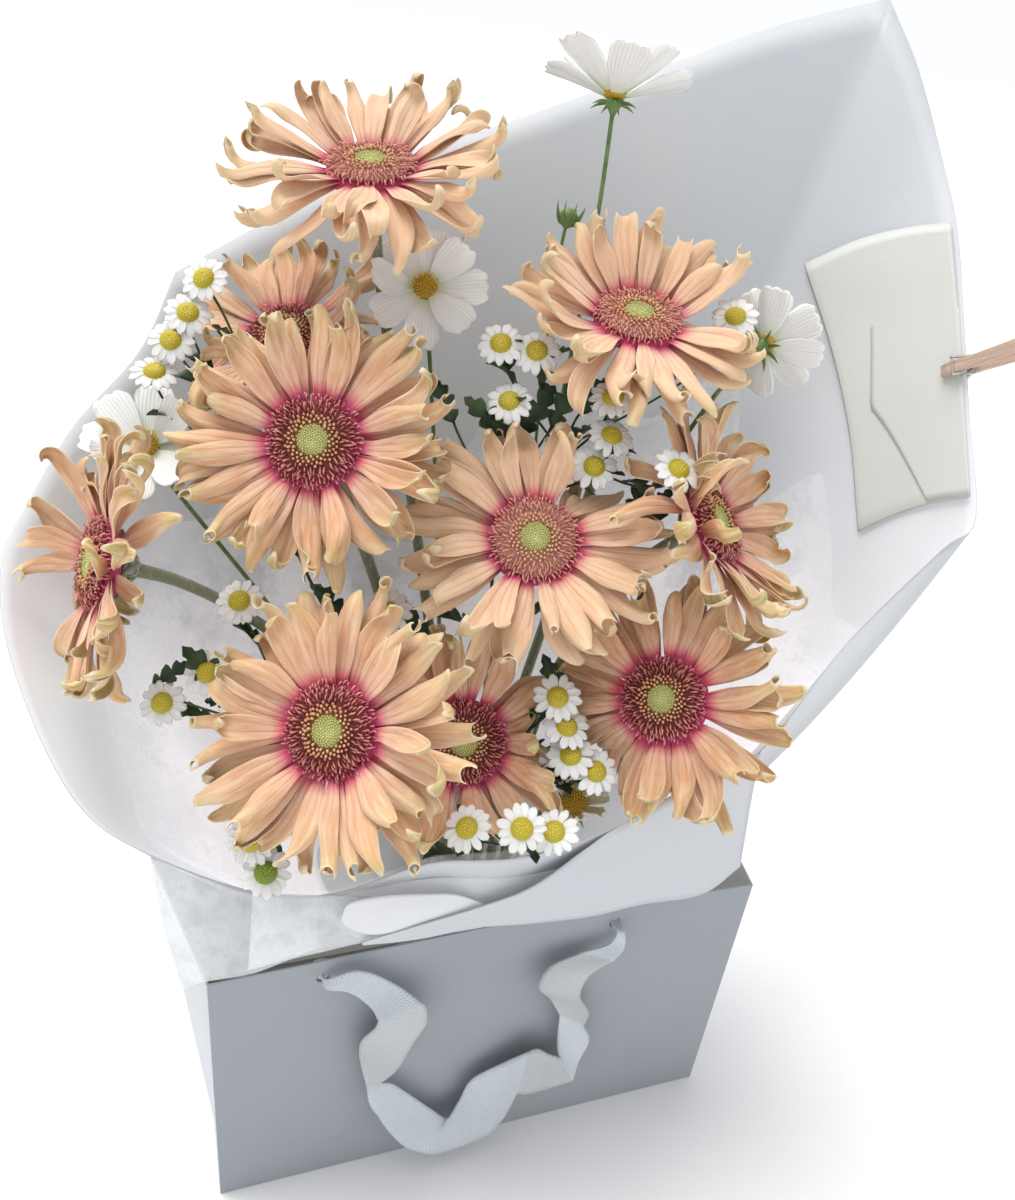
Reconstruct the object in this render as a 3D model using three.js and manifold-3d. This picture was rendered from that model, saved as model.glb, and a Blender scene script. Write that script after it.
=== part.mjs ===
// Gerberas, cosmos and feverfew in a white paper wrap, standing in a paper carrier bag.
// Millimetres, +Z up. The origin is the centre of the bag's base; the bag's front faces -Y.
import * as THREE from 'three';
import Module from 'manifold-3d';

const wasm = await Module();
wasm.setup();

// ---- Driving dimensions -------------------------------------------------------------------

const GAP = 0.3;
const BAG = { width: 280, depth: 140, height: 167, paper: 1.0, hole: 3.2 };
const CARD = { inset: 4, low: 1.3, high: 2.9 };
const WAIST = { z: 118, radius: 28.4 };
const WRAP = { paper: 0.8 };
const TISSUE = { paper: 0.6 };
const FOOT_Z = CARD.high + GAP;
const GERBERA = {
  root: 17, sunk: -3.2, length: 46, width: 11.2, thick: 1.6, channel: 0.08, stem: 2.7,
};
const FEVERFEW = { reach: 10.8, petals: 9, dome: 5.0, stem: 1.1, twig: 0.9, leaf: 36, leafWidth: 15 };
const COSMOS = { reach: 29, width: 17, thick: 1.2, petals: 8, root: 3.6, dome: 5.2, stem: 1.1 };
// How far from the bunch's middle each kind of stem passes the tie, and the turn from one to the next.
const TIE_RINGS = {
  gerbera: { radius: 17, turn: 40 },
  cosmos: { radius: 24, turn: 60 },
  feverfew: { radius: 9.5, turn: 51.4 },
};
const TAPE = { thick: 1.4 };
// The envelope's corners, each as a column of the wrap and a level on it.
const ENVELOPE = {
  topOuter: [10.1, 0.995],
  topInner: [12.5, 0.74],
  lowInner: [8.6, 0.7],
  lowOuter: [7.25, 0.995],
  thick: 1.6,
  clear: 0.5,
};
const PIN = {
  column: 8.5,
  pastEdge: 3.2,
  middle: 1.3,
  jaw: 14,
  arm: 26,
  gap: 2.2,
  wood: 3,
  splay: 2.4,
  width: 6,
  coil: 1.5,
  wire: 0.9,
};

// Each gerbera: centre of its disc, the way it faces, petals in the outer and inner row, the size
// against the usual one, how far the petals lean forward, the stem's place in the tie, and how much
// more the petals on the upper side lean forward than those at the sides.
const GERBERAS = [
  { at: [-47, 91, 487], face: [-0.14, -0.24, 0.96], outer: 12, inner: 7, size: 1.05, lean: 8, slot: 3,
    tilt: 16 },
  { at: [-84, 92, 410], face: [-0.33, -0.40, 0.86], outer: 10, inner: 6, size: 1.0, lean: 4, slot: 4 },
  { at: [-82, 17, 388], face: [-0.31, -0.76, 0.57], outer: 13, inner: 8, size: 1.0, lean: 2, slot: 5 },
  { at: [67, 34, 439], face: [-0.10, -0.30, 0.95], outer: 12, inner: 7, size: 1.03, lean: 10, slot: 1,
    tilt: 22 },
  { at: [10, -16, 354], face: [-0.24, -0.62, 0.75], outer: 12, inner: 8, size: 1.0, lean: 4, slot: 0 },
  { at: [92, -27, 364], face: [0.57, -0.53, 0.63], outer: 12, inner: 7, size: 1.0, lean: 14, slot: 9 },
  { at: [-173, 29, 329], face: [-0.93, -0.19, 0.31], outer: 12, inner: 7, size: 1.0, lean: 4, slot: 6 },
  { at: [-86, -59, 294], face: [-0.54, -0.63, 0.56], outer: 13, inner: 8, size: 1.0, lean: 4, slot: 7 },
  { at: [-22, -42, 265], face: [-0.21, -0.74, 0.64], outer: 11, inner: 6, size: 0.9, lean: 6, slot: 2 },
  { at: [62, -64, 295], face: [-0.61, -0.52, 0.60], outer: 12, inner: 8, size: 0.92, lean: -4, slot: 8 },
];
const FRONT_TO_BACK = [2, 7, 4, 9, 6, 5, 3, 0, 8, 1];

const COSMOSES = [
  { at: [75, 115, 523], face: [0.10, 0.31, 0.95], lean: 26, size: 1.33, slot: 1 },
  { at: [-20, 86, 436], face: [-0.26, -0.73, 0.64], lean: 6, size: 1.05, slot: 2 },
  { at: [-149, 78, 362], face: [-0.18, -0.63, 0.76], lean: 12, size: 1.05, slot: 3 },
  { at: [135, 31, 428], face: [0.81, 0.56, 0.19], lean: 14, size: 1, slot: 0 },
  { at: [28, -63, 239], face: [-0.03, -0.46, 0.89], lean: 24, size: 0.62, slot: 5 },
];

const SPRAYS = [
  { fork: [10, 34, 352], slot: 1, heads: [[51, 14, 408], [49, 5, 393], [41, 1, 380], [7, 28, 401]] },
  { fork: [40, 40, 372], slot: 0, heads: [[5, 42, 423], [20, 35, 422], [68, -26, 390], [112, 26, 442]] },
  { fork: [-90, 60, 350], slot: 2, heads: [[-119, 100, 433], [-127, 94, 419], [-135, 89, 408],
    [-143, 84, 395]] },
  { fork: [-90, 10, 240], slot: 3, heads: [[-114, 19, 311], [-51, -4, 314], [-150, 6, 268], [-130, 7, 282],
    [-118, -57, 238], [-113, -66, 227]] },
  { fork: [-6, -24, 232], slot: 6, heads: [[18, -48, 290], [21, -56, 279], [22, -63, 268],
    [32, -70, 263]] },
  { fork: [-14, -38, 200], slot: 5, heads: [[-30, -80, 250], [-9, -90, 255], [8, -87, 247]] },
];

// The wrap's upper edge, from the middle of the front anticlockwise seen from above.
const RIM = [
  [-43, -74, 226], [-5, -81, 228], [38, -82, 237], [76, -79, 254], [113, -76, 267], [160, -58, 313],
  [208, -46, 353], [225, -43, 367], [233, -10, 405], [241, 24, 445], [248, 56, 482], [251, 89, 514],
  [250, 122, 548], [246, 157, 579], [190, 172, 560], [120, 182, 530], [45, 186, 499], [-15, 188, 478],
  [-75, 186, 446], [-129, 179, 416], [-149, 143, 386], [-181, 113, 359], [-204, 80, 331], [-214, 62, 315],
  [-213, 33, 291], [-200, -3, 260], [-184, -25, 236], [-160, -43, 225], [-119, -57, 208], [-85, -70, 212],
];
const LEVELS = [0.1, 0.25, 0.5, 0.75, 1];
// How fast each column of the wrap spreads from the tie: low is wide near the bag's mouth.
const SPREADS = [
  0.62, 0.62, 0.62, 0.6, 0.56, 0.52, 0.47, 0.44, 0.44, 0.47, 0.51, 0.56, 0.64, 0.72, 0.78, 0.82,
  0.85, 0.85, 0.8, 0.75, 0.68, 0.64, 0.62, 0.62, 0.62, 0.62, 0.62, 0.62, 0.62, 0.62,
];

// ---- Small helpers ------------------------------------------------------------------------

const V = (x, y, z) => new THREE.Vector3(x, y, z);
const vec = (a) => new THREE.Vector3(...a);
const rad = (degrees) => (degrees * Math.PI) / 180;
const mix = (a, b, t) => a + (b - a) * t;
const FULL_TURN = 2 * Math.PI;

// A repeatable draw between 0 and 1 for item i of a piece.
function draw(seed, i, k) {
  const s = Math.sin(seed * 127.1 + i * 311.7 + k * 74.7) * 43758.5453;
  return s - Math.floor(s);
}

function solid(points, triangles) {
  const vertProperties = new Float32Array(points.length * 3);
  points.forEach((p, i) => vertProperties.set([p.x, p.y, p.z], i * 3));
  const mesh = new wasm.Mesh({ numProp: 3, vertProperties, triVerts: new Uint32Array(triangles.flat()) });
  mesh.merge();
  return new wasm.Manifold(mesh);
}

function geometryOf(body) {
  const mesh = body.getMesh();
  const geometry = new THREE.BufferGeometry();
  geometry.setAttribute('position', new THREE.Float32BufferAttribute(mesh.vertProperties, 3));
  geometry.setIndex(new THREE.BufferAttribute(new Uint32Array(mesh.triVerts), 1));
  return geometry;
}

// Closed body through rings of equal length; a ring of one point closes an end to a tip.
function loft(rings) {
  const points = [];
  const triangles = [];
  const starts = rings.map((ring) => {
    const start = points.length;
    points.push(...ring);
    return start;
  });
  for (let k = 0; k + 1 < rings.length; k += 1) {
    const [a, b] = [starts[k], starts[k + 1]];
    const [na, nb] = [rings[k].length, rings[k + 1].length];
    const n = Math.max(na, nb);
    for (let i = 0; i < n; i += 1) {
      const j = (i + 1) % n;
      if (nb > 1) triangles.push([a + (na > 1 ? i : 0), b + j, b + i]);
      if (na > 1) triangles.push([a + i, a + j, b + (nb > 1 ? j : 0)]);
    }
  }
  const last = rings.length - 1;
  for (let i = 1; i + 1 < rings[0].length; i += 1) {
    triangles.push([starts[0], starts[0] + i + 1, starts[0] + i]);
  }
  for (let i = 1; i + 1 < rings[last].length; i += 1) {
    triangles.push([starts[last], starts[last] + i, starts[last] + i + 1]);
  }
  let body = solid(points, triangles);
  if (body.volume() < 0) {
    body = solid(points, triangles.map(([p, q, r]) => [p, r, q]));
  }
  return body;
}

// Axes of a flower: u and v across its face, n the way it faces.
function axesOf(face) {
  const n = vec(face).normalize();
  const v = V(0, 0, 1).addScaledVector(n, -n.z).normalize();
  return { u: v.clone().cross(n), v, n };
}

// Points of an extruded shape, three for each of its triangles.
function cornersOf(geometry) {
  const position = geometry.getAttribute('position');
  const count = { length: position.count };
  return Array.from(count, (unused, i) => V(0, 0, 0).fromBufferAttribute(position, i));
}

function ringProfile(x, y, r, sides) {
  return Array.from({ length: sides }, (unused, i) => {
    const a = (i * FULL_TURN) / sides;
    return new THREE.Vector2(x + r * Math.cos(a), y + r * Math.sin(a));
  });
}

function tube(path, radius, sides, steps) {
  const section = new THREE.Shape(ringProfile(0, 0, radius, sides));
  const extruded = new THREE.ExtrudeGeometry(section, { extrudePath: path, steps, curveSegments: 1 });
  return weld(cornersOf(extruded));
}

// Joins loose triangles, given as three points each, into one closed body.
function weld(points) {
  const places = new Map();
  const shared = [];
  const index = points.map((p) => {
    const key = [p.x, p.y, p.z].map((c) => Math.round(c * 2000)).join();
    if (!places.has(key)) {
      places.set(key, shared.length);
      shared.push(p);
    }
    return places.get(key);
  });
  const triangles = [];
  for (let i = 0; i < index.length; i += 3) {
    const [a, b, c] = [index[i], index[i + 1], index[i + 2]];
    if (a !== b && b !== c && a !== c) triangles.push([a, b, c]);
  }
  const body = solid(shared, triangles);
  return body.volume() < 0 ? solid(shared, triangles.map(([a, b, c]) => [a, c, b])) : body;
}

const join = (bodies) => bodies.reduce((sum, body) => sum.add(body));

// ---- The wrap's surface -------------------------------------------------------------------

const WAIST_TURNS = RIM.map(([x, y], i) => {
  const even = rad(240) + (i * FULL_TURN) / RIM.length;
  let bearing = Math.atan2(y, x);
  while (bearing < even - Math.PI) bearing += FULL_TURN;
  return mix(bearing, even, 0.5);
});

function wrapPoint(i, level) {
  const column = (i + RIM.length) % RIM.length;
  const turn = WAIST_TURNS[column];
  const waist = V(WAIST.radius * Math.cos(turn), WAIST.radius * Math.sin(turn), WAIST.z);
  if (level < 0) {
    const flare = 1 + 0.55 * level * level;
    return V(waist.x * flare, waist.y * flare, mix(WAIST.z, FOOT_Z, -level));
  }
  const rim = vec(RIM[column]);
  const out = level ** SPREADS[column];
  return V(mix(waist.x, rim.x, out), mix(waist.y, rim.y, out), mix(WAIST.z, rim.z, level));
}

// A sheet that runs all the way round, between two offsets of a grid of points.
function roundSheet(grid, inner, outer) {
  const [columns, rows] = [grid.length, grid[0].length];
  const normal = (i, k) => {
    const side = grid[(i + 1) % columns][k].clone().sub(grid[(i + columns - 1) % columns][k]);
    const rise = grid[i][Math.min(k + 1, rows - 1)].clone().sub(grid[i][Math.max(k - 1, 0)]);
    return side.cross(rise).normalize();
  };
  const points = [];
  for (let i = 0; i < columns; i += 1) {
    for (let k = 0; k < rows; k += 1) {
      const n = normal(i, k);
      points.push(grid[i][k].clone().addScaledVector(n, inner(k)));
      points.push(grid[i][k].clone().addScaledVector(n, outer(k)));
    }
  }
  const at = (i, k, face) => ((i % columns) * rows + k) * 2 + face;
  const triangles = [];
  for (let i = 0; i < columns; i += 1) {
    for (let k = 0; k + 1 < rows; k += 1) {
      triangles.push([at(i, k, 1), at(i + 1, k, 1), at(i + 1, k + 1, 1)]);
      triangles.push([at(i, k, 1), at(i + 1, k + 1, 1), at(i, k + 1, 1)]);
      triangles.push([at(i, k, 0), at(i + 1, k + 1, 0), at(i + 1, k, 0)]);
      triangles.push([at(i, k, 0), at(i, k + 1, 0), at(i + 1, k + 1, 0)]);
    }
    const top = rows - 1;
    triangles.push([at(i, 0, 0), at(i + 1, 0, 0), at(i + 1, 0, 1)]);
    triangles.push([at(i, 0, 0), at(i + 1, 0, 1), at(i, 0, 1)]);
    triangles.push([at(i, top, 0), at(i + 1, top, 1), at(i + 1, top, 0)]);
    triangles.push([at(i, top, 0), at(i, top, 1), at(i + 1, top, 1)]);
  }
  return solid(points, triangles);
}

const wrapLevels = [-1, 0, ...LEVELS];
const wrapGrid = RIM.map((rim, i) => wrapLevels.map((level) => wrapPoint(i, level)));

// A point of the wrap's own facets, part of the way up one column.
function onColumn(i, level) {
  const k = Math.max(0, wrapLevels.findIndex((next) => next >= level) - 1);
  const t = (level - wrapLevels[k]) / (wrapLevels[k + 1] - wrapLevels[k]);
  const column = wrapGrid[(i + RIM.length) % RIM.length];
  return column[k].clone().lerp(column[k + 1], t);
}

// How far up each column the tissue reaches.
function tissueTop(i) {
  const wave = 0.04 * Math.sin(i * 2.1) + 0.03 * Math.sin(i * 0.9 + 1);
  if (i >= 26 || i < 4) return 0.9 + wave;
  if (i >= 4 && i < 12) return 0.62 + wave;
  if (i < 19) return 0.55 + wave;
  return 0.74 + wave;
}
const tissueRows = [0, 0.33, 0.67, 1];
const tissueGrid = RIM.map((rim, i) => tissueRows.map((f) => onColumn(i, mix(0.12, tissueTop(i), f))));

// Points of the wrap with the way out through it; a place's clearance is how far inside them it lies.
const wrapNodes = [];
const topLevel = wrapLevels.length - 1;
wrapGrid.forEach((column, i) => {
  const next = wrapGrid[(i + 1) % RIM.length];
  const last = wrapGrid[(i + RIM.length - 1) % RIM.length];
  for (let k = 2; k <= topLevel; k += 1) {
    const side = next[k].clone().sub(last[k]);
    const rise = column[Math.min(k + 1, topLevel)].clone().sub(column[k - 1]);
    const n = side.cross(rise).normalize();
    wrapNodes.push({ p: column[k], n, rise: rise.normalize(), edge: k === topLevel });
  }
});
function wrapClearance(p) {
  let best = null;
  let nearest = Infinity;
  wrapNodes.forEach((node) => {
    const d = node.p.distanceToSquared(p);
    if (d < nearest) {
      nearest = d;
      best = node;
    }
  });
  const away = p.clone().sub(best.p);
  if (best.edge && away.dot(best.rise) > 2) return Math.sqrt(nearest);
  return -away.dot(best.n);
}

// ---- Petals and leaves --------------------------------------------------------------------

// Thin blade through sections of three points: left edge, keel underneath and right edge.
// It ends in a point, or flat where there is none.
function blade(sections, tip) {
  return loft(tip ? [...sections, [tip]] : sections);
}

const COURSE_STEPS = 14;

// The centre line of a petal, from its root to its tip, with its side and upward directions.
function courseOf(flower, petal) {
  const { u, v, n } = flower.axes;
  const turn0 = petal.turn;
  const p = flower.centre.clone()
    .addScaledVector(u, petal.root * Math.cos(turn0))
    .addScaledVector(v, petal.root * Math.sin(turn0))
    .addScaledVector(n, petal.low);
  const stations = [];
  for (let k = 0; k <= COURSE_STEPS; k += 1) {
    const s = k / COURSE_STEPS;
    const turn = turn0 + petal.sway * s;
    const curl = Math.max(0, (s - 0.66) / 0.34);
    const slope = petal.rise + petal.bend * s + petal.curl * curl * curl;
    const flat = u.clone().multiplyScalar(Math.cos(turn)).addScaledVector(v, Math.sin(turn));
    const across = u.clone().multiplyScalar(-Math.sin(turn)).addScaledVector(v, Math.cos(turn));
    const along = flat.multiplyScalar(Math.cos(slope)).addScaledVector(n, Math.sin(slope));
    const up = along.clone().cross(across);
    const roll = petal.twist * s;
    const side = across.clone().multiplyScalar(Math.cos(roll)).addScaledVector(up, Math.sin(roll));
    const lift = up.multiplyScalar(Math.cos(roll)).addScaledVector(across, -Math.sin(roll));
    stations.push({ s, p: p.clone(), side, up: lift });
    p.addScaledVector(along, petal.length / COURSE_STEPS);
  }
  return stations;
}

function stationAt(course, s) {
  const k = Math.min(COURSE_STEPS - 1, Math.floor(s * COURSE_STEPS));
  const t = s * COURSE_STEPS - k;
  const [a, b] = [course[k], course[k + 1]];
  const p = a.p.clone().lerp(b.p, t);
  const side = a.side.clone().lerp(b.side, t).normalize();
  const up = a.up.clone().lerp(b.up, t).normalize();
  return { p, side, up };
}

function along(table, s) {
  let k = 0;
  while (k + 2 < table.length && table[k + 1][0] < s) k += 1;
  const [[s0, w0], [s1, w1]] = [table[k], table[k + 1]];
  return mix(w0, w1, Math.min(1, Math.max(0, (s - s0) / (s1 - s0))));
}
const GERBERA_OUTLINE = [[0, 0.3], [0.3, 0.8], [0.6, 1], [0.84, 0.78], [1, 0.3]];
const COSMOS_OUTLINE = [[0, 0.2], [0.5, 0.86], [0.8, 1], [1, 0.86]];

function sectionAt(course, s, half, thick, channel) {
  const { p, side, up } = stationAt(course, s);
  const rim = 0.1 * thick + 2 * half * channel;
  return [
    p.clone().addScaledVector(side, -half).addScaledVector(up, rim),
    p.clone().addScaledVector(up, -0.6 * thick),
    p.clone().addScaledVector(side, half).addScaledVector(up, rim),
  ];
}

// How far petals keep from the wrap, for the tissue that lines it.
const LINING = 5;

// What is already in place, as balls along stems, petals and heads, so that later petals bend clear.
const taken = [];
const take = (owner, p, r) => taken.push({ owner, p, r });

// How far a point is from the nearest ball of another owner, or of the own heads where they are that big.
function roomAround(owner, p, ownHeads = Infinity) {
  let room = Infinity;
  taken.forEach((ball) => {
    if (ball.owner !== owner || ball.r > ownHeads) room = Math.min(room, ball.p.distanceTo(p) - ball.r);
  });
  return room;
}

function roomFor(owner, course, halfWidth) {
  const rooms = [0.3, 0.42, 0.54, 0.65, 0.75, 0.84, 0.92, 1].map((s) => {
    const { p } = stationAt(course, s);
    const r = Math.max(1.6, halfWidth * along(GERBERA_OUTLINE, s));
    return Math.min(roomAround(owner, p), wrapClearance(p) - LINING) - r;
  });
  return Math.min(...rooms);
}

const BENDS = [0, -12, 12, -24, 24, -38, 38, -55, 55, -75].map(rad);
const SHORTER = [1, 0.85, 0.7, 0.55];

// The course with the smallest bend that clears what is in place.
function bendClear(flower, petal, halfWidth) {
  let best = null;
  let most = -Infinity;
  for (const scale of SHORTER) {
    for (const extra of BENDS) {
      const rise = petal.rise + 0.2 * extra;
      const bend = petal.bend + 0.9 * extra;
      const course = courseOf(flower, { ...petal, rise, bend, length: petal.length * scale });
      const room = roomFor(flower.owner, course, halfWidth);
      if (room > 1) return course;
      if (room > most) {
        most = room;
        best = course;
      }
    }
  }
  return best;
}

// ---- Stems --------------------------------------------------------------------------------

function tiePlace(radius, turn) {
  return V(radius * Math.cos(turn), radius * Math.sin(turn), WAIST.z);
}

const STEM_STEPS = 32;
const SWINGS = [0, 8, 16, 26, 36];

function bezier(a, b, c, d, t) {
  const m = 1 - t;
  return a.clone().multiplyScalar(m * m * m)
    .addScaledVector(b, 3 * m * m * t)
    .addScaledVector(c, 3 * m * t * t)
    .addScaledVector(d, t * t * t);
}

// From the back of a head, in an easy curve down to the tie. The later ones swing round the earlier.
function steerStem(owner, head, face, tie, radius) {
  const n = vec(face).normalize();
  const foot = V(tie.x * 1.3, tie.y * 1.3, FOOT_Z);
  const lead = tie.clone().sub(foot).normalize();
  const far = head.distanceTo(tie);
  let best = null;
  let most = -Infinity;
  for (const swing of SWINGS) {
    for (const reach of [0.28, 0.16, 0.42]) {
      for (let k = 0; k < (swing ? 8 : 1); k += 1) {
        const away = V(swing * Math.cos((k * Math.PI) / 4), swing * Math.sin((k * Math.PI) / 4), 0);
        const early = head.clone().addScaledVector(n, -reach * far).addScaledVector(away, 0.5);
        const late = tie.clone().addScaledVector(lead, 0.35 * far).add(away);
        const points = Array.from(
          { length: STEM_STEPS + 1 },
          (unused, i) => bezier(head, early, late, tie, i / STEM_STEPS),
        );
        const room = Math.min(...points.map((p) => roomAround(owner, p))) - radius;
        if (room > 0.5) return { points, foot };
        if (room > most) {
          most = room;
          best = { points, foot };
        }
      }
    }
  }
  return best;
}

function stemPath({ points, foot }) {
  const tie = points[STEM_STEPS];
  const through = [0, 4, 9, 15, 21, 27, 32].map((i) => points[i]);
  return new THREE.CatmullRomCurve3([...through, foot.clone().lerp(tie, 0.5), foot], false, 'centripetal');
}

// ---- Gerberas -----------------------------------------------------------------------------

// Rings of the cup under the petals and of the calyx under it: radius and height.
const CUP = [[9, -7.4], [21.8, -4.4], [18.8, -GAP]];
const GERBERA_CALYX = [[3.6, -17], [15, -7.6 - GAP], [7, -7.4 - GAP]];
const COSMOS_CALYX = [[1.4, -10], [4.4, -3.6 - GAP], [2.2, -3.2 - GAP]];
const COSMOS_HEAD = [[3.4, -3.2], [COSMOS.dome, -1.6], [COSMOS.dome * 0.9, 2]];
const BUD = { at: [45, 81, 468], bow: [42, 88, 430], from: 0.42, face: [0.1, -0.1, 0.98] };
const BUD_RINGS = [[1, -1.5], [4.6, 1], [5, 4], [2.6, 7.4]];
// How far behind a disc's middle its stem begins, and the same for a cosmos.
const STEM_BACK = { gerbera: 9, cosmos: 5.2 };

function ringOn(axes, centre, radius, height, count, offset = 0) {
  return Array.from({ length: count }, (unused, i) => {
    const a = ((i + offset) * FULL_TURN) / count;
    const r = typeof radius === 'function' ? radius(i) : radius;
    return centre.clone()
      .addScaledVector(axes.u, r * Math.cos(a))
      .addScaledVector(axes.v, r * Math.sin(a))
      .addScaledVector(axes.n, typeof height === 'function' ? height(i) : height);
  });
}

const ringsOn = (axes, centre, rings, count) => rings.map(([r, h]) => ringOn(axes, centre, r, h, count));

// The front gerbera's stem runs down the middle of the tie, and the others round it.
const MIDDLE_ONE = 4;
const gerberas = GERBERAS.map((spec, i) => {
  const axes = axesOf(spec.face);
  const { radius, turn } = TIE_RINGS.gerbera;
  const tie = i === MIDDLE_ONE ? tiePlace(0, 0) : tiePlace(radius, rad(turn * spec.slot));
  return { tilt: 0, ...spec, owner: `gerbera_${i + 1}`, axes, centre: vec(spec.at), tie };
});

function petalsOf(flower, seed) {
  const petals = [];
  [flower.outer, flower.inner].forEach((count, layer) => {
    const inner = layer === 1;
    for (let i = 0; i < count; i += 1) {
      const d = (k) => draw(seed, i + 40 * layer, k) * 2 - 1;
      const turn = ((i + (inner ? 0.5 : 0) + 0.2 * d(1)) * FULL_TURN) / count;
      const lean = flower.lean + flower.tilt * Math.sin(turn);
      petals.push({
        turn,
        root: GERBERA.root,
        low: inner ? GERBERA.sunk + 1.6 : GERBERA.sunk,
        rise: rad(lean + (inner ? 24 : 6) + 6 * d(2)),
        bend: rad((inner ? -22 : -16) + 14 * d(3)),
        curl: rad(d(4) > -0.35 ? 75 + 45 * d(5) : -55 + 30 * d(5)),
        sway: rad(20 * d(6)),
        twist: rad(26 * d(7)),
        length: (GERBERA.length + 5 * d(8)) * flower.size * (inner ? 0.82 : 1),
        width: (GERBERA.width + 1.4 * d(9)) * (inner ? 0.88 : 1),
      });
    }
  });
  return petals;
}

function gerberaPetals(flower, seed) {
  const cup = loft(ringsOn(flower.axes, flower.centre, CUP, 8));
  const blades = [];
  petalsOf(flower, seed).forEach((petal) => {
    const half = petal.width / 2;
    const course = bendClear(flower, petal, half);
    const sections = [0, 0.4, 0.8].map((s) => {
      const thick = GERBERA.thick * mix(1, 0.7, s);
      const channel = GERBERA.channel * mix(0.3, 1, Math.min(1, s * 2));
      return sectionAt(course, s, half * along(GERBERA_OUTLINE, s), thick, channel);
    });
    blades.push(blade(sections, stationAt(course, 1).p));
    [0.2, 0.35, 0.5, 0.65, 0.78, 0.9, 1].forEach((s) => {
      take(flower.owner, stationAt(course, s).p, Math.max(1.6, half * along(GERBERA_OUTLINE, s)));
    });
  });
  return join([cup, ...blades]);
}

// The disc: a low dome, raised in points where the florets stand, smooth in the middle.
function gerberaDisc(flower, seed) {
  const { axes, centre } = flower;
  const size = flower.size < 0.95 ? 0.95 : 1;
  const rows = [
    { r: 17.6, h: 0, spike: 0 }, { r: 18.3, h: 1.6, spike: 1.4 }, { r: 14.6, h: 3.2, spike: 1.6 },
    { r: 10.6, h: 3.5, spike: 1.1 }, { r: 6.2, h: 4.1, spike: 0.3 },
  ];
  const rings = rows.map(({ r, h, spike }, k) => ringOn(
    axes, centre, (i) => size * (r + (spike ? 0.5 * (draw(seed, i, k) - 0.5) : 0)),
    (i) => h + spike * ((i + k) % 2 ? 1 : -1) * 0.5, 10,
  ));
  rings.push([centre.clone().addScaledVector(axes.n, 5)]);
  return loft(rings);
}

function gerberaStem(flower) {
  const calyx = loft(ringsOn(flower.axes, flower.centre, GERBERA_CALYX, 6));
  return tube(flower.path, GERBERA.stem, 5, 8).add(calyx);
}

// ---- Cosmos -------------------------------------------------------------------------------

const cosmosFlowers = COSMOSES.map((spec, i) => {
  const axes = axesOf(spec.face);
  const tie = tiePlace(TIE_RINGS.cosmos.radius, rad(TIE_RINGS.cosmos.turn * spec.slot));
  return { ...spec, owner: `cosmos_${i + 1}`, axes, centre: vec(spec.at), tie };
});

function cosmosBloom(flower, seed) {
  const { axes, centre } = flower;
  const head = loft([
    ...ringsOn(axes, centre, COSMOS_HEAD, 7),
    [centre.clone().addScaledVector(axes.n, 4.2)],
  ]);
  const blades = [];
  for (let i = 0; i < COSMOS.petals; i += 1) {
    const d = (k) => draw(seed, i, k) * 2 - 1;
    const petal = {
      turn: ((i + 0.12 * d(1)) * FULL_TURN) / COSMOS.petals,
      root: COSMOS.root,
      low: i % 2 ? -0.9 : -2.1,
      rise: rad(flower.lean + (i % 2 ? 4 : 0) + 5 * d(2)),
      bend: rad(8 * d(3) - 4),
      curl: rad(14 * d(4)),
      sway: rad(6 * d(5)),
      twist: rad(14 * d(6)),
      length: (COSMOS.reach + 1.5 * d(7)) * flower.size - COSMOS.root,
    };
    const half = (COSMOS.width / 2) * Math.min(1.15, flower.size);
    const course = bendClear(flower, petal, 0.6 * half);
    const sections = [0, 0.5].map((s) => (
      sectionAt(course, s, half * along(COSMOS_OUTLINE, s), COSMOS.thick, 0.02)
    ));
    const notch = stationAt(course, 0.95);
    const edge = stationAt(course, 1);
    sections.push([
      edge.p.clone().addScaledVector(edge.side, -half * 0.7),
      notch.p.clone().addScaledVector(notch.up, -0.6),
      edge.p.clone().addScaledVector(edge.side, half * 0.7),
    ]);
    blades.push(blade(sections));
    [0.4, 0.6, 0.8, 1].forEach((s) => {
      const station = stationAt(course, s);
      const r = half * along(COSMOS_OUTLINE, s);
      [-0.5, 0.5].forEach((side) => {
        take(flower.owner, station.p.clone().addScaledVector(station.side, side * r), 0.5 * r);
      });
    });
  }
  return join([head, ...blades]);
}

function cosmosStem(flower, withBud) {
  const calyx = loft(ringsOn(flower.axes, flower.centre, COSMOS_CALYX, 6));
  const parts = [tube(flower.path, COSMOS.stem, 4, 10), calyx];
  if (withBud) {
    const bud = vec(BUD.at);
    const twig = new THREE.QuadraticBezierCurve3(flower.path.getPointAt(BUD.from), vec(BUD.bow), bud);
    parts.push(tube(twig, FEVERFEW.twig, 4, 3));
    parts.push(loft(ringsOn(axesOf(BUD.face), bud, BUD_RINGS, 6)));
  }
  return join(parts);
}

// ---- Feverfew -----------------------------------------------------------------------------

const HEAD_FACE = [-0.24, -0.62, 0.75];
const SPRAY_STEPS = 8;

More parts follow.
